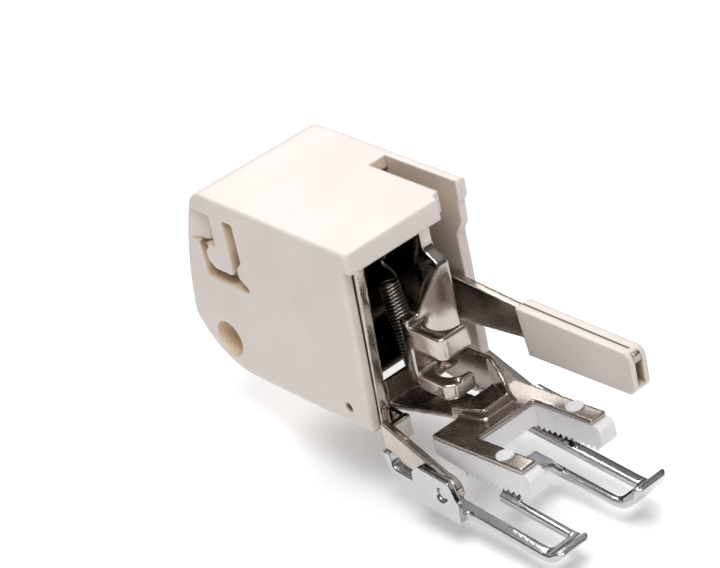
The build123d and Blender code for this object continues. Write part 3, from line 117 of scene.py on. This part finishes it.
# %% [markdown]
# ## Where the edges are
#
# Both plastic and metal wear at their edges. A softened normal, blended over a small radius,
# leaves the face's own normal only near an edge, so the angle between the two finds the edges.

# %% Edge helper
EDGE_STARTS = 0.995
BEVEL_SAMPLES = 6


def soft_edges(tree, round_mm, full, most=1.0):
    """The softened normal, and an edge mask from its dot product with the face's own normal.

    The mask is 0 where the product is EDGE_STARTS or more, and most where it is full or less.
    """
    bevel = add(tree, "ShaderNodeBevel", {"Radius": round_mm * MM}, samples=BEVEL_SAMPLES)
    soft = bevel.outputs["Normal"]
    own = add(tree, "ShaderNodeNewGeometry").outputs["Normal"]
    agree = add(tree, "ShaderNodeVectorMath", {0: soft, 1: own}, operation="DOT_PRODUCT")
    edge = add(tree, "ShaderNodeMapRange", {
        "Value": agree.outputs["Value"], "From Min": EDGE_STARTS, "From Max": full, "To Max": most})
    return soft, edge.outputs["Result"]


print("edges start where the normals' product is", EDGE_STARTS)

# %% [markdown]
# ## Cream ABS
#
# The housing and the sleeve of the lever are moulded in cream ABS. The mould was spark
# eroded, which leaves a fine grain that softens the gloss. A flat colour would look like
# paper, so the colour drifts a little over centimetres, the edges are rubbed slightly paler,
# the inside takes a painted warm tint that stands for light bounced between its walls, the
# pockets are darkened with painted shade and dust, and the grain bends the light. The true
# grain is about 0.1 mm. It is drawn at 0.3 mm so that it shows in a picture of this size.

# %% Cream ABS: drifting colour and rubbed edges
ABS_DRIFT_MM = 9.0
ABS_ROUND_MM = 0.7
ABS_EDGE_FULL = 0.9

cream_abs, tree, shader, place = new_material("cream_abs_spark_eroded")
drift = add(tree, "ShaderNodeTexNoise", {
    "Vector": place, "Scale": 1 / (ABS_DRIFT_MM * MM), "Detail": 3.0})
cream = add(tree, "ShaderNodeValToRGB", {"Fac": drift.outputs["Fac"]})
darker, paler = cream.color_ramp.elements
darker.position, darker.color = 0.3, linear("#DDD2CD")
paler.position, paler.color = 0.7, linear("#E3D9D4")
soft_normal, edge = soft_edges(tree, ABS_ROUND_MM, ABS_EDGE_FULL)
rubbed = add(tree, "ShaderNodeMix", {
    "Factor": edge, MIX_A: cream.outputs["Color"], MIX_B: linear("#F0E9E3")}, data_type="RGBA")
print("colour of", cream_abs.name)

# %% Cream ABS: painted warm bounce light inside, painted shade and dust in the pockets
ABS_INSIDE_MM = 26.0
ABS_POCKET_MM = 3.0
SKY_SAMPLES = 8

# Painted bounce light: faces deep inside the housing, where the walls hide the room, are tinted
# warm as if lit by light bounced between the walls.
inner_sky = add(tree, "ShaderNodeAmbientOcclusion", {"Distance": ABS_INSIDE_MM * MM},
                samples=SKY_SAMPLES, only_local=True)
inside = add(tree, "ShaderNodeMapRange", {
    "Value": inner_sky.outputs["AO"],
    "From Min": 0.45, "From Max": 0.8, "To Min": 1.0, "To Max": 0.0})
warm = add(tree, "ShaderNodeMix", {
    "Factor": inside.outputs["Result"],
    MIX_A: rubbed.outputs[MIX_OUT], MIX_B: linear("#F2DDC6")}, data_type="RGBA")
# Painted shade, with dust: small hollows are darkened towards a dusty brown where walls close round
# them.
open_sky = add(tree, "ShaderNodeAmbientOcclusion", {"Distance": ABS_POCKET_MM * MM},
               samples=SKY_SAMPLES)
pocket_shade_and_dust = add(tree, "ShaderNodeMapRange", {
    "Value": open_sky.outputs["AO"],
    "From Min": 0.15, "From Max": 0.75, "To Min": 0.85, "To Max": 0.0})
shade_and_dust = add(tree, "ShaderNodeMix", {
    "Factor": pocket_shade_and_dust.outputs["Result"],
    MIX_A: warm.outputs[MIX_OUT], MIX_B: linear("#8E7C68")}, data_type="RGBA")
tree.links.new(shade_and_dust.outputs[MIX_OUT], shader.inputs["Base Color"])
print("dust of", cream_abs.name)

# %% Cream ABS: grain, gloss and depth
ABS_GRAIN_MM = 0.3
ABS_GRAIN_DEPTH_MM = 0.03
ABS_LIGHT_DEPTH_MM = 1.2
PLASTIC_IOR = 1.53

grain = add(tree, "ShaderNodeTexNoise", {
    "Vector": place, "Scale": 1 / (ABS_GRAIN_MM * MM), "Detail": 4.0})
dull = add(tree, "ShaderNodeMapRange", {
    "Value": grain.outputs["Fac"], "To Min": 0.36, "To Max": 0.52})
bump = add(tree, "ShaderNodeBump", {
    "Height": grain.outputs["Fac"], "Strength": 0.12,
    "Distance": ABS_GRAIN_DEPTH_MM * MM, "Normal": soft_normal})
tree.links.new(dull.outputs["Result"], shader.inputs["Roughness"])
tree.links.new(bump.outputs["Normal"], shader.inputs["Normal"])
shader.inputs["IOR"].default_value = PLASTIC_IOR
shader.inputs["Subsurface Weight"].default_value = 0.12
shader.inputs["Subsurface Radius"].default_value = (1.0, 0.7, 0.5)
shader.inputs["Subsurface Scale"].default_value = ABS_LIGHT_DEPTH_MM * MM
print("made", cream_abs.name)

# %% [markdown]
# ## Plated stampings
#
# The frame plates, the shank clamp, the lever and the feeder's bracket are stamped from
# steel strip and nickel plated. Nickel is a warm, slightly dark mirror. Under it, the strip's
# rolling marks show as faint streaks, and where the press sheared the edge the surface is
# torn and dull. The streaks run along the strip, so the noise is stretched along Y. Deeper
# inside the housing the colour turns to a dark brown, as painted shade for the dark interior.

# %% Metal recipe: colour and relief
CLOUD_MM = 4.0
WAVE_MM = 2.4
TEAR_MM = 0.3
TEAR_DEPTH = 4.0
PAINTED_INSIDE_SHADE = "#4A3F36"


def metal_colour(tree, place, light, dark, inside_shade_mm):
    """Two tones mixed in clouds, turned to a painted brown shade between two distances along Y."""
    clouds = add(tree, "ShaderNodeTexNoise", {
        "Vector": place, "Scale": 1 / (CLOUD_MM * MM), "Detail": 3.0})
    tones = add(tree, "ShaderNodeMix", {
        "Factor": clouds.outputs["Fac"], MIX_A: linear(light), MIX_B: linear(dark)},
        data_type="RGBA")
    # Painted shade: deeper inside the housing, along Y, the colour turns to a dark brown.
    back = add(tree, "ShaderNodeSeparateXYZ", {"Vector": place}).outputs["Y"]
    inside_shade_depth = add(tree, "ShaderNodeMapRange", {
        "Value": back, "From Min": inside_shade_mm[0] * MM, "From Max": inside_shade_mm[1] * MM})
    shaded_inside = add(tree, "ShaderNodeMix", {
        "Factor": inside_shade_depth.outputs["Result"],
        MIX_A: tones.outputs[MIX_OUT], MIX_B: linear(PAINTED_INSIDE_SHADE)}, data_type="RGBA")
    return shaded_inside.outputs[MIX_OUT]


def metal_relief(tree, place, streaks, edge, wave):
    """Height: streaks + wave * slow waves + TEAR_DEPTH * edge * fine tears."""
    waves = add(tree, "ShaderNodeTexNoise", {
        "Vector": place, "Scale": 1 / (WAVE_MM * MM), "Detail": 1.0})
    waved = add(tree, "ShaderNodeMath", {
        0: waves.outputs["Fac"], 1: wave, 2: streaks}, operation="MULTIPLY_ADD")
    tears = add(tree, "ShaderNodeTexNoise", {
        "Vector": place, "Scale": 1 / (TEAR_MM * MM), "Detail": 2.0})
    torn = add(tree, "ShaderNodeMath", {0: tears.outputs["Fac"], 1: edge}, operation="MULTIPLY")
    relief = add(tree, "ShaderNodeMath", {
        0: torn.outputs[0], 1: TEAR_DEPTH, 2: waved.outputs[0]}, operation="MULTIPLY_ADD")
    return relief.outputs[0]


print("clouds of", CLOUD_MM, "mm and waves of", WAVE_MM, "mm")

# %% Metal recipe: the whole surface
METAL_EDGE_FULL = 0.85
METAL_BUMP = 0.5


def plated_metal(name, light, dark, gloss, streak_mm, stretch, torn=0.25, wave=3.0,
                 inside_shade_mm=(60, 70), relief_mm=0.02, round_mm=0.2):
    """Metal with rolling streaks, which set the gloss, and edges that are torn and dull.

    Edges look rounded to round_mm. The roughness is gloss, from low to high with the streaks,
    plus torn at a sharp edge.
    """
    material, tree, shader, place = new_material(name)
    squeezed = add(tree, "ShaderNodeMapping", {"Vector": place, "Scale": stretch})
    noise = add(tree, "ShaderNodeTexNoise", {
        "Vector": squeezed.outputs["Vector"], "Scale": 1 / (streak_mm * MM), "Detail": 5.0})
    streaks = noise.outputs["Fac"]
    soft_normal, edge = soft_edges(tree, round_mm, METAL_EDGE_FULL, torn)
    rolled = add(tree, "ShaderNodeMapRange", {
        "Value": streaks, "From Min": 0.3, "From Max": 0.7,
        "To Min": gloss[0], "To Max": gloss[1]})
    rough = add(tree, "ShaderNodeMath", {0: rolled.outputs["Result"], 1: edge}, operation="ADD")
    bump = add(tree, "ShaderNodeBump", {
        "Height": metal_relief(tree, place, streaks, edge, wave), "Strength": METAL_BUMP,
        "Distance": relief_mm * MM, "Normal": soft_normal})
    colour = metal_colour(tree, place, light, dark, inside_shade_mm)
    tree.links.new(colour, shader.inputs["Base Color"])
    tree.links.new(rough.outputs[0], shader.inputs["Roughness"])
    tree.links.new(bump.outputs["Normal"], shader.inputs["Normal"])
    shader.inputs["Metallic"].default_value = 1.0
    return material


print("metal is bumped at strength", METAL_BUMP)

# %% Four metals
# Nickel on thick stampings: a warm mirror whose slow waves bend every reflection.
nickel = plated_metal(
    "nickel_plated_stamping", "#CBC3BC", "#AEA59E", gloss=(0.10, 0.20), streak_mm=0.35,
    stretch=(1, 0.12, 1), inside_shade_mm=(9, 17), round_mm=0.38)
# Nickel on thin strip: satin, so reflections blur into soft bands; its tones are darker than the
# thick nickel's, as painted shade for the dark parts it mirrors.
nickel_strip_painted_dark = plated_metal(
    "nickel_plated_strip_painted_dark", "#C0B6AE", "#9F958E", gloss=(0.20, 0.29), streak_mm=0.3,
    stretch=(1, 0.1, 1), wave=1.2, inside_shade_mm=(9, 20), relief_mm=0.008, round_mm=0.32)
# Chrome on the sole: the coolest and brightest mirror, smooth up to its edges.
chrome = plated_metal(
    "bright_chrome_on_steel", "#CBCCCD", "#BEBFC1", gloss=(0.07, 0.13), streak_mm=0.25,
    stretch=(1, 0.2, 1), torn=0.05, wave=2.0, relief_mm=0.007, round_mm=0.2)
# Drawn wire: a grey that sparkles finely and leaves each turn of the coil dark at its sides.
spring_steel = plated_metal(
    "dark_drawn_spring_wire", "#B4ABA2", "#8E867E", gloss=(0.13, 0.24), streak_mm=0.2,
    stretch=(1, 1, 1), torn=0.0, wave=0.0)
print("made", nickel.name, nickel_strip_painted_dark.name, chrome.name, spring_steel.name)

# %% [markdown]
# ## Natural nylon
#
# The toothed pad is moulded from undyed nylon. Nylon lets light in: thin teeth glow, thick
# blocks look milky. Subsurface scattering over a millimetre or so does that.

# %% Material: natural nylon
NYLON_CLOUD_MM = 2.5
NYLON_ROUND_MM = 0.2
NYLON_LIGHT_DEPTH_MM = 1.5

white_nylon, tree, shader, place = new_material("natural_nylon_moulded")
cloud = add(tree, "ShaderNodeTexNoise", {
    "Vector": place, "Scale": 1 / (NYLON_CLOUD_MM * MM), "Detail": 4.0})
milk = add(tree, "ShaderNodeMix", {
    "Factor": cloud.outputs["Fac"], MIX_A: linear("#E0DDE0"), MIX_B: linear("#F4F2F4")},
    data_type="RGBA")
rough = add(tree, "ShaderNodeMapRange", {
    "Value": cloud.outputs["Fac"], "To Min": 0.28, "To Max": 0.46})
soft_normal = add(tree, "ShaderNodeBevel", {"Radius": NYLON_ROUND_MM * MM}, samples=4)
tree.links.new(milk.outputs[MIX_OUT], shader.inputs["Base Color"])
tree.links.new(rough.outputs["Result"], shader.inputs["Roughness"])
tree.links.new(soft_normal.outputs["Normal"], shader.inputs["Normal"])
shader.inputs["IOR"].default_value = PLASTIC_IOR
shader.inputs["Subsurface Weight"].default_value = 0.45
shader.inputs["Subsurface Radius"].default_value = (1.0, 0.95, 0.9)
shader.inputs["Subsurface Scale"].default_value = NYLON_LIGHT_DEPTH_MM * MM
print("made", white_nylon.name)

# %% [markdown]
# ## Finishes onto the solids
#
# Each solid keeps its mesh and takes its finish through its material slot.

# %% Assign the finishes
finishes = {
    cream_abs: ["housing", "lever_sleeve"],
    nickel: ["left_frame_plate", "shank_bracket", "sole_carrier", "lever_shaft", "carrier_shaft",
             "carrier_clip", "swing_shaft", "swing_clip", "spring_post", "rear_spacer",
             "lever_bush", "crank_pin", "feed_hub", "feed_spring_pin"],
    nickel_strip_painted_dark: ["lever_arm", "feed_bracket"],
    chrome: ["sole", "sole_rivet_left", "sole_rivet_right"],
    white_nylon: ["feed_pad"],
    spring_steel: ["return_spring"],
}
for material, names in finishes.items():
    for name in names:
        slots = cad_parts[name].data.materials
        slots.clear()
        slots.append(material)
print("finished", sum(len(names) for names in finishes.values()), "solids")

# %% [markdown]
# ## The return spring
#
# The real spring is drawn wire, close wound, with an eye at each end. The solid model only
# has a ribbed bar, so the coil is worked out here: a tube carried along a helix. The wire's
# ring at each point is set across the helix by its own two directions, outwards from the
# axis and across the turn, which never twist.

# %% Surface helper and wire tubes
SEAM = 0.0002 * MM


def grid_piece(name, patches, material):
    """A mesh from grids of points: each patch is an array (rows, columns, 3), joined as quads.

    Points that meet at a seam or a pole are merged, which closes the shell, and its faces are
    turned outwards.
    """
    points, faces, start = [], [], 0
    for patch in patches:
        rows, columns = patch.shape[:2]
        index = start + np.arange(rows * columns).reshape(rows, columns)
        quads = np.stack([index[:-1, :-1], index[:-1, 1:], index[1:, 1:], index[1:, :-1]], axis=-1)
        points.append(patch.reshape(-1, 3))
        faces.append(quads.reshape(-1, 4))
        start += rows * columns
    mesh = bpy.data.meshes.new(name)
    mesh.from_pydata(np.concatenate(points).tolist(), [], np.concatenate(faces).tolist())
    shell = bmesh.new()
    shell.from_mesh(mesh)
    bmesh.ops.remove_doubles(shell, verts=shell.verts, dist=SEAM)
    bmesh.ops.recalc_face_normals(shell, faces=shell.faces)
    shell.to_mesh(mesh)
    shell.free()
    mesh.polygons.foreach_set("use_smooth", np.full(len(mesh.polygons), True))
    mesh.materials.append(material)
    piece = bpy.data.objects.new(name, mesh)
    bpy.context.scene.collection.objects.link(piece)
    return piece


def wire(path, across, radius, sides=12):
    """Tube: each ring is path + radius (cos v, sin v) in the plane of two directions across it.

    The first and last ring are repeated with no radius, which closes the ends.
    """
    along = np.gradient(path, axis=0)
    along /= np.linalg.norm(along, axis=1, keepdims=True)
    first = across - along * np.sum(across * along, axis=1, keepdims=True)
    first /= np.linalg.norm(first, axis=1, keepdims=True)
    second = np.cross(along, first)
    v = np.linspace(0, 2 * np.pi, sides + 1)[None, :, None]
    rings = path[:, None] + radius * (np.cos(v) * first[:, None] + np.sin(v) * second[:, None])
    ends = np.broadcast_to(path[[0, -1], None], (2, sides + 1, 3))
    return np.concatenate([ends[:1], rings, ends[1:]])


print("points closer than", SEAM / MM, "mm are merged")

# %% The spring's sizes and helix
SPRING_X = -0.6 * MM
PIN = np.array([SPRING_X, 8.4 * MM, -6.6 * MM])
POST = np.array([SPRING_X, 12.6 * MM, 15.4 * MM])
PIN_RADIUS = 0.8 * MM
POST_RADIUS = 1.2 * MM
EYE_PLAY = 0.15 * MM
WIRE = 0.25 * MM
COIL = 1.65 * MM
TURNS = 24
TURN_STEPS = 28
PITCH = 0.61 * MM
BODY = TURNS * PITCH
TOP_HOOK = 5.6 * MM
PIN_EYE = PIN_RADIUS + EYE_PLAY + WIRE
POST_EYE = POST_RADIUS + EYE_PLAY + WIRE

span = np.linalg.norm(POST - PIN)
axis = (POST - PIN) / span
sideways = np.array([1.0, 0, 0])
forward = np.cross(axis, sideways)
top = span - TOP_HOOK
bottom = top - BODY

turn = np.linspace(0, 2 * np.pi * TURNS, TURNS * TURN_STEPS)
outward = np.cos(turn)[:, None] * sideways + np.sin(turn)[:, None] * forward
coil = PIN + outward * COIL + axis * (bottom + BODY * turn / turn[-1])[:, None]
print("helix of", len(coil), "points")

# %% Wind the spring
EYE_STEPS = 40
LEAD_STEPS = 24


def eye(centre, radius, start, end):
    """Loop of wire round a pin: a circle in the plane across X."""
    angle = np.radians(np.linspace(start, end, EYE_STEPS))[:, None]
    ring = np.cos(angle) * axis + np.sin(angle) * forward
    return wire(centre + radius * ring, np.repeat(sideways[None], EYE_STEPS, axis=0), WIRE)


def lead(low, high, side_low, side_high):
    """Wire between axis and coil: the distance from the axis grows as a smooth step."""
    s = np.linspace(0, 1, LEAD_STEPS)[:, None]
    reach = side_low + (side_high - side_low) * s * s * (3 - 2 * s)
    path = PIN + axis * (low + (high - low) * s) + sideways * reach
    return wire(path, np.repeat(forward[None], LEAD_STEPS, axis=0), WIRE)


patches = [
    wire(coil, outward, WIRE),
    eye(PIN, PIN_EYE, 0, 320),
    eye(POST, POST_EYE, 180, 500),
    lead(PIN_EYE, bottom, 0, COIL),
    lead(top, span - POST_EYE, COIL, 0),
]
spring = grid_piece("return_spring_coil", patches, spring_steel)
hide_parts("return_spring")
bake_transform(spring)
print("spring of", TURNS, "turns,", len(spring.data.polygons), "faces")

# %% [markdown]
# ## Tumbled stampings
#
# Before they are plated, the stampings are tumbled with stones, which takes the burrs off, and
# the sole is polished as well, so cloth never catches on it. Every edge is rounded over and
# mirrors a bright line. A shader can only pretend that. Here a copy of each solid is wrapped
# in a fine shell and worn down by averaging each point with its neighbours, pass after pass,
# which leaves flats flat and takes edges round, as tumbling does.

# %% Tumbling helper
MERGE = 0.001 * MM


def tumbled(node, name, material, cell_mm, passes):
    """A rounded copy of a solid: merged, wrapped in a shell of even cells, smoothed in passes.

    An edge ends up rounded to about cell_mm times the square root of half the passes.
    """
    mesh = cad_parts[node].data.copy()
    shell = bmesh.new()
    shell.from_mesh(mesh)
    bmesh.ops.remove_doubles(shell, verts=shell.verts, dist=MERGE)
    shell.to_mesh(mesh)
    shell.free()
    piece = bpy.data.objects.new(name, mesh)
    bpy.context.scene.collection.objects.link(piece)
    wrap = piece.modifiers.new("wrap", "REMESH")
    wrap.mode = "VOXEL"
    wrap.voxel_size = cell_mm * MM
    wrap.use_smooth_shade = True
    wear = piece.modifiers.new("wear", "SMOOTH")
    wear.factor = 0.5
    wear.iterations = passes
    worn_piece = piece.evaluated_get(bpy.context.evaluated_depsgraph_get())
    worn_mesh = bpy.data.meshes.new_from_object(worn_piece)
    piece.modifiers.clear()
    piece.data = worn_mesh
    worn_mesh.materials.clear()
    worn_mesh.materials.append(material)
    return piece


print("points closer than", MERGE / MM, "mm are merged")

# %% Tumble the stampings
for node, name, material, cell_mm, passes, body, slot in (
    ("sole", "sole_polished", chrome, 0.15, 14, "sole", "chromed_steel"),
    ("sole_carrier", "sole_carrier_tumbled", nickel, 0.18, 8, "carrier", "chromed_steel"),
    ("feed_bracket", "feed_bracket_tumbled", nickel_strip_painted_dark, 0.18, 8, "feeder", "nickel_steel"),
    ("shank_bracket", "shank_bracket_tumbled", nickel, 0.18, 8, "frame", "nickel_steel"),
    ("left_frame_plate", "left_frame_plate_tumbled", nickel, 0.2, 6, "frame", "nickel_steel"),
    ("lever_arm", "lever_arm_tumbled", nickel_strip_painted_dark, 0.18, 8, "lever", "nickel_steel"),
):
    piece = tumbled(node, name, material, cell_mm, passes)
    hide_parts(node)
    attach(piece, body)
    print("tumbled", name, len(piece.data.polygons), "faces")

# %% [markdown]
# ## The sole's rivets
#
# The sole rocks on two rivets. Their ends are peened a little below the face of the sole's
# ears, so that nothing stands proud to catch the cloth, and the wall of each hole shows as a
# dark crescent. The solid rivets are plain and flush, so each is turned again here: half of
# its outline, from the head inside the arm to the dimple that the peening tool left, is
# carried once round its axis.

# %% The rivet's outline, in millimetres
RIVET_AXIS = np.array([-8.0, -16.2]) * MM
HEAD_INSIDE, HEAD_OUTSIDE, HEAD_RADIUS = 10.35, 10.8, 1.7
HEAD_RISE = 0.2
HEAD_CHAMFER = 0.02
SHANK_END, SHANK_RADIUS = 13.7, 1.05
SUNK = 0.6
ROUND = 0.18
DIMPLE = 0.12


def rivet_outline():
    """Outline (x, r): a dome x = inside + rise (r / R)^2, rim, shank, quarter round, dimple."""
    dome = np.linspace(0, HEAD_RADIUS, 10)
    quarter = np.linspace(0, np.pi / 2, 7)
    end, flat = SHANK_END - SUNK, SHANK_RADIUS - ROUND
    hollow = np.linspace(flat, 0, 9)[1:]
    rim = [(HEAD_OUTSIDE - HEAD_CHAMFER, HEAD_RADIUS),
           (HEAD_OUTSIDE, HEAD_RADIUS - HEAD_CHAMFER), (HEAD_OUTSIDE, SHANK_RADIUS)]
    return np.concatenate([
        np.stack([HEAD_INSIDE + HEAD_RISE * (dome / HEAD_RADIUS) ** 2, dome], axis=1),
        rim,
        np.stack([end - ROUND + ROUND * np.sin(quarter), flat + ROUND * np.cos(quarter)], axis=1),
        np.stack([end - DIMPLE * (1 - (hollow / flat) ** 2), hollow], axis=1),
    ]) * MM


print("outline of", len(rivet_outline()), "points")


# %% Turn the rivets
def turned_about_x(outline, axis_yz, hand, sides=48):
    """Surface of revolution: (x, r) goes round to (hand x, y + r cos v, z + r sin v)."""
    v = np.linspace(0, 2 * np.pi, sides + 1)
    across, radius = outline[:, :1], outline[:, 1:]
    return np.stack([np.broadcast_to(hand * across, (len(outline), sides + 1)),
                     axis_yz[0] + radius * np.cos(v), axis_yz[1] + radius * np.sin(v)], axis=-1)


for side_name, hand in (("left", -1), ("right", 1)):
    surface = turned_about_x(rivet_outline(), RIVET_AXIS, hand)
    rivet = grid_piece(f"sole_rivet_{side_name}_peened", [surface], chrome)
    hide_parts(f"sole_rivet_{side_name}")
    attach(rivet, "carrier")
    print("turned", rivet.name, len(rivet.data.polygons), "faces")

# %% [markdown]
# ## Floor, light and camera
#
# The foot is held by its clamp, as on a machine, a few millimetres over a pale light table,
# which leaves the sole room to rock. The table glows faintly. One large soft light stands to
# the left and in front, a second one over the back, and the room itself is darker at eye
# level than overhead, so the plated parts have something dark to mirror.

# %% Floor
ROCKING_ROOM = 3.7 * MM
TABLE_HALF = 6.0
TABLE_GLOW = 0.24

low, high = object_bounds()
table_top = low[2] - ROCKING_ROOM
corners = TABLE_HALF * np.array([(-1, -1), (1, -1), (1, 1), (-1, 1)])
floor_mesh = bpy.data.meshes.new("floor")
floor_mesh.from_pydata([(x, y, table_top) for x, y in corners.tolist()], [], [(0, 1, 2, 3)])
floor = bpy.data.objects.new("floor", floor_mesh)
bpy.context.scene.collection.objects.link(floor)
# Opal acrylic: an even white that lifts the shadows under the foot.
opal, tree, shader, place = new_material("opal_acrylic_light_table")
shader.inputs["Base Color"].default_value = linear("#F4F4F4")
shader.inputs["Roughness"].default_value = 0.6
shader.inputs["Emission Color"].default_value = linear("#FFFFFF")
shader.inputs["Emission Strength"].default_value = TABLE_GLOW
floor_mesh.materials.append(opal)
print("floor at", round(table_top / MM, 2), "mm")

# %% Room
ROOM_STRENGTH = 0.38
BANDS = ((0.0, "#1E1B19"), (0.16, "#2E2A27"), (0.34, "#CFCAC6"), (0.52, "#77716C"),
         (0.8, "#FFFFFF"))

world = bpy.data.worlds.new("studio")
bpy.context.scene.world = world
world.use_nodes = True
tree = world.node_tree
tree.nodes.clear()
direction = add(tree, "ShaderNodeTexCoord").outputs["Generated"]
height = add(tree, "ShaderNodeSeparateXYZ", {"Vector": direction}).outputs["Z"]
sky = add(tree, "ShaderNodeValToRGB", {"Fac": height})
for place_up, colour in BANDS[1:-1]:
    sky.color_ramp.elements.new(place_up).color = linear(colour)
for element, (place_up, colour) in zip(sky.color_ramp.elements, BANDS):
    element.position = place_up
    element.color = linear(colour)
glow = add(tree, "ShaderNodeBackground", {
    "Color": sky.outputs["Color"], "Strength": ROOM_STRENGTH})
add(tree, "ShaderNodeOutputWorld", {"Surface": glow.outputs["Background"]})
print("room in", len(BANDS), "bands")


# %% Soft lights
def soft_box(name, place_mm, aim_mm, size_mm, watts):
    """A square soft light at a place, aimed at a point."""
    lamp = bpy.data.lights.new(name, "AREA")
    lamp.size = size_mm * MM
    lamp.energy = watts
    box = bpy.data.objects.new(name, lamp)
    start, aim = np.array(place_mm, float), np.array(aim_mm, float)
    away = (start - aim) / np.linalg.norm(start - aim)
    right = np.cross((0.0, 0.0, 1.0), away)
    right /= np.linalg.norm(right)
    turned = np.stack([right, np.cross(away, right), away], axis=1)
    box.matrix_world = Matrix.Translation(start * MM) @ Matrix(turned.tolist()).to_4x4()
    bpy.context.scene.collection.objects.link(box)


soft_box("key_light", (-110, -170, 470), aim_mm=(0, 5, 0), size_mm=280, watts=2.0)
soft_box("back_light", (160, 380, 380), aim_mm=(0, 10, 0), size_mm=300, watts=1.5)
bpy.context.scene.view_settings.view_transform = "Standard"
print("two soft lights")

# %% [markdown]
# The camera looks down on the foot from its front left, a little tilted, through a long
# lens. It is placed so that one point of the foot falls on one pixel of the picture.

# %% Camera
AZIMUTH, ELEVATION, ROLL = np.radians((-35.17, 30.59, -12.62))
FOCAL_PX = 2675.0
PX_PER_MM = 6.3
IMAGE_PX = (720, 568)
SEEN_POINT = np.array([-12.4, 6.0, -9.8]) * MM
SEEN_PX = (380, 430)
DISTANCE = FOCAL_PX / PX_PER_MM * MM

back = np.array([np.sin(AZIMUTH) * np.cos(ELEVATION),
                 -np.cos(AZIMUTH) * np.cos(ELEVATION), np.sin(ELEVATION)])
level = np.array([np.cos(AZIMUTH), np.sin(AZIMUTH), 0.0])
raised = np.cross(back, level)
right = np.cos(ROLL) * level + np.sin(ROLL) * raised
up = np.cos(ROLL) * raised - np.sin(ROLL) * level
shift = [(seen - size / 2) / FOCAL_PX * DISTANCE for seen, size in zip(SEEN_PX, IMAGE_PX)]
eye_point = SEEN_POINT + back * DISTANCE - right * shift[0] + up * shift[1]

lens = bpy.data.cameras.new("camera")
lens.sensor_width = 36.0
lens.lens = FOCAL_PX / IMAGE_PX[0] * lens.sensor_width
lens.clip_start = 0.01
camera = bpy.data.objects.new("camera", lens)
turned = Matrix(np.stack([right, up, back], axis=1).tolist()).to_4x4()
camera.matrix_world = Matrix.Translation(eye_point) @ turned
bpy.context.scene.collection.objects.link(camera)
bpy.context.scene.camera = camera
print("camera at", np.round(eye_point / MM, 1), "mm, lens", round(lens.lens, 2))
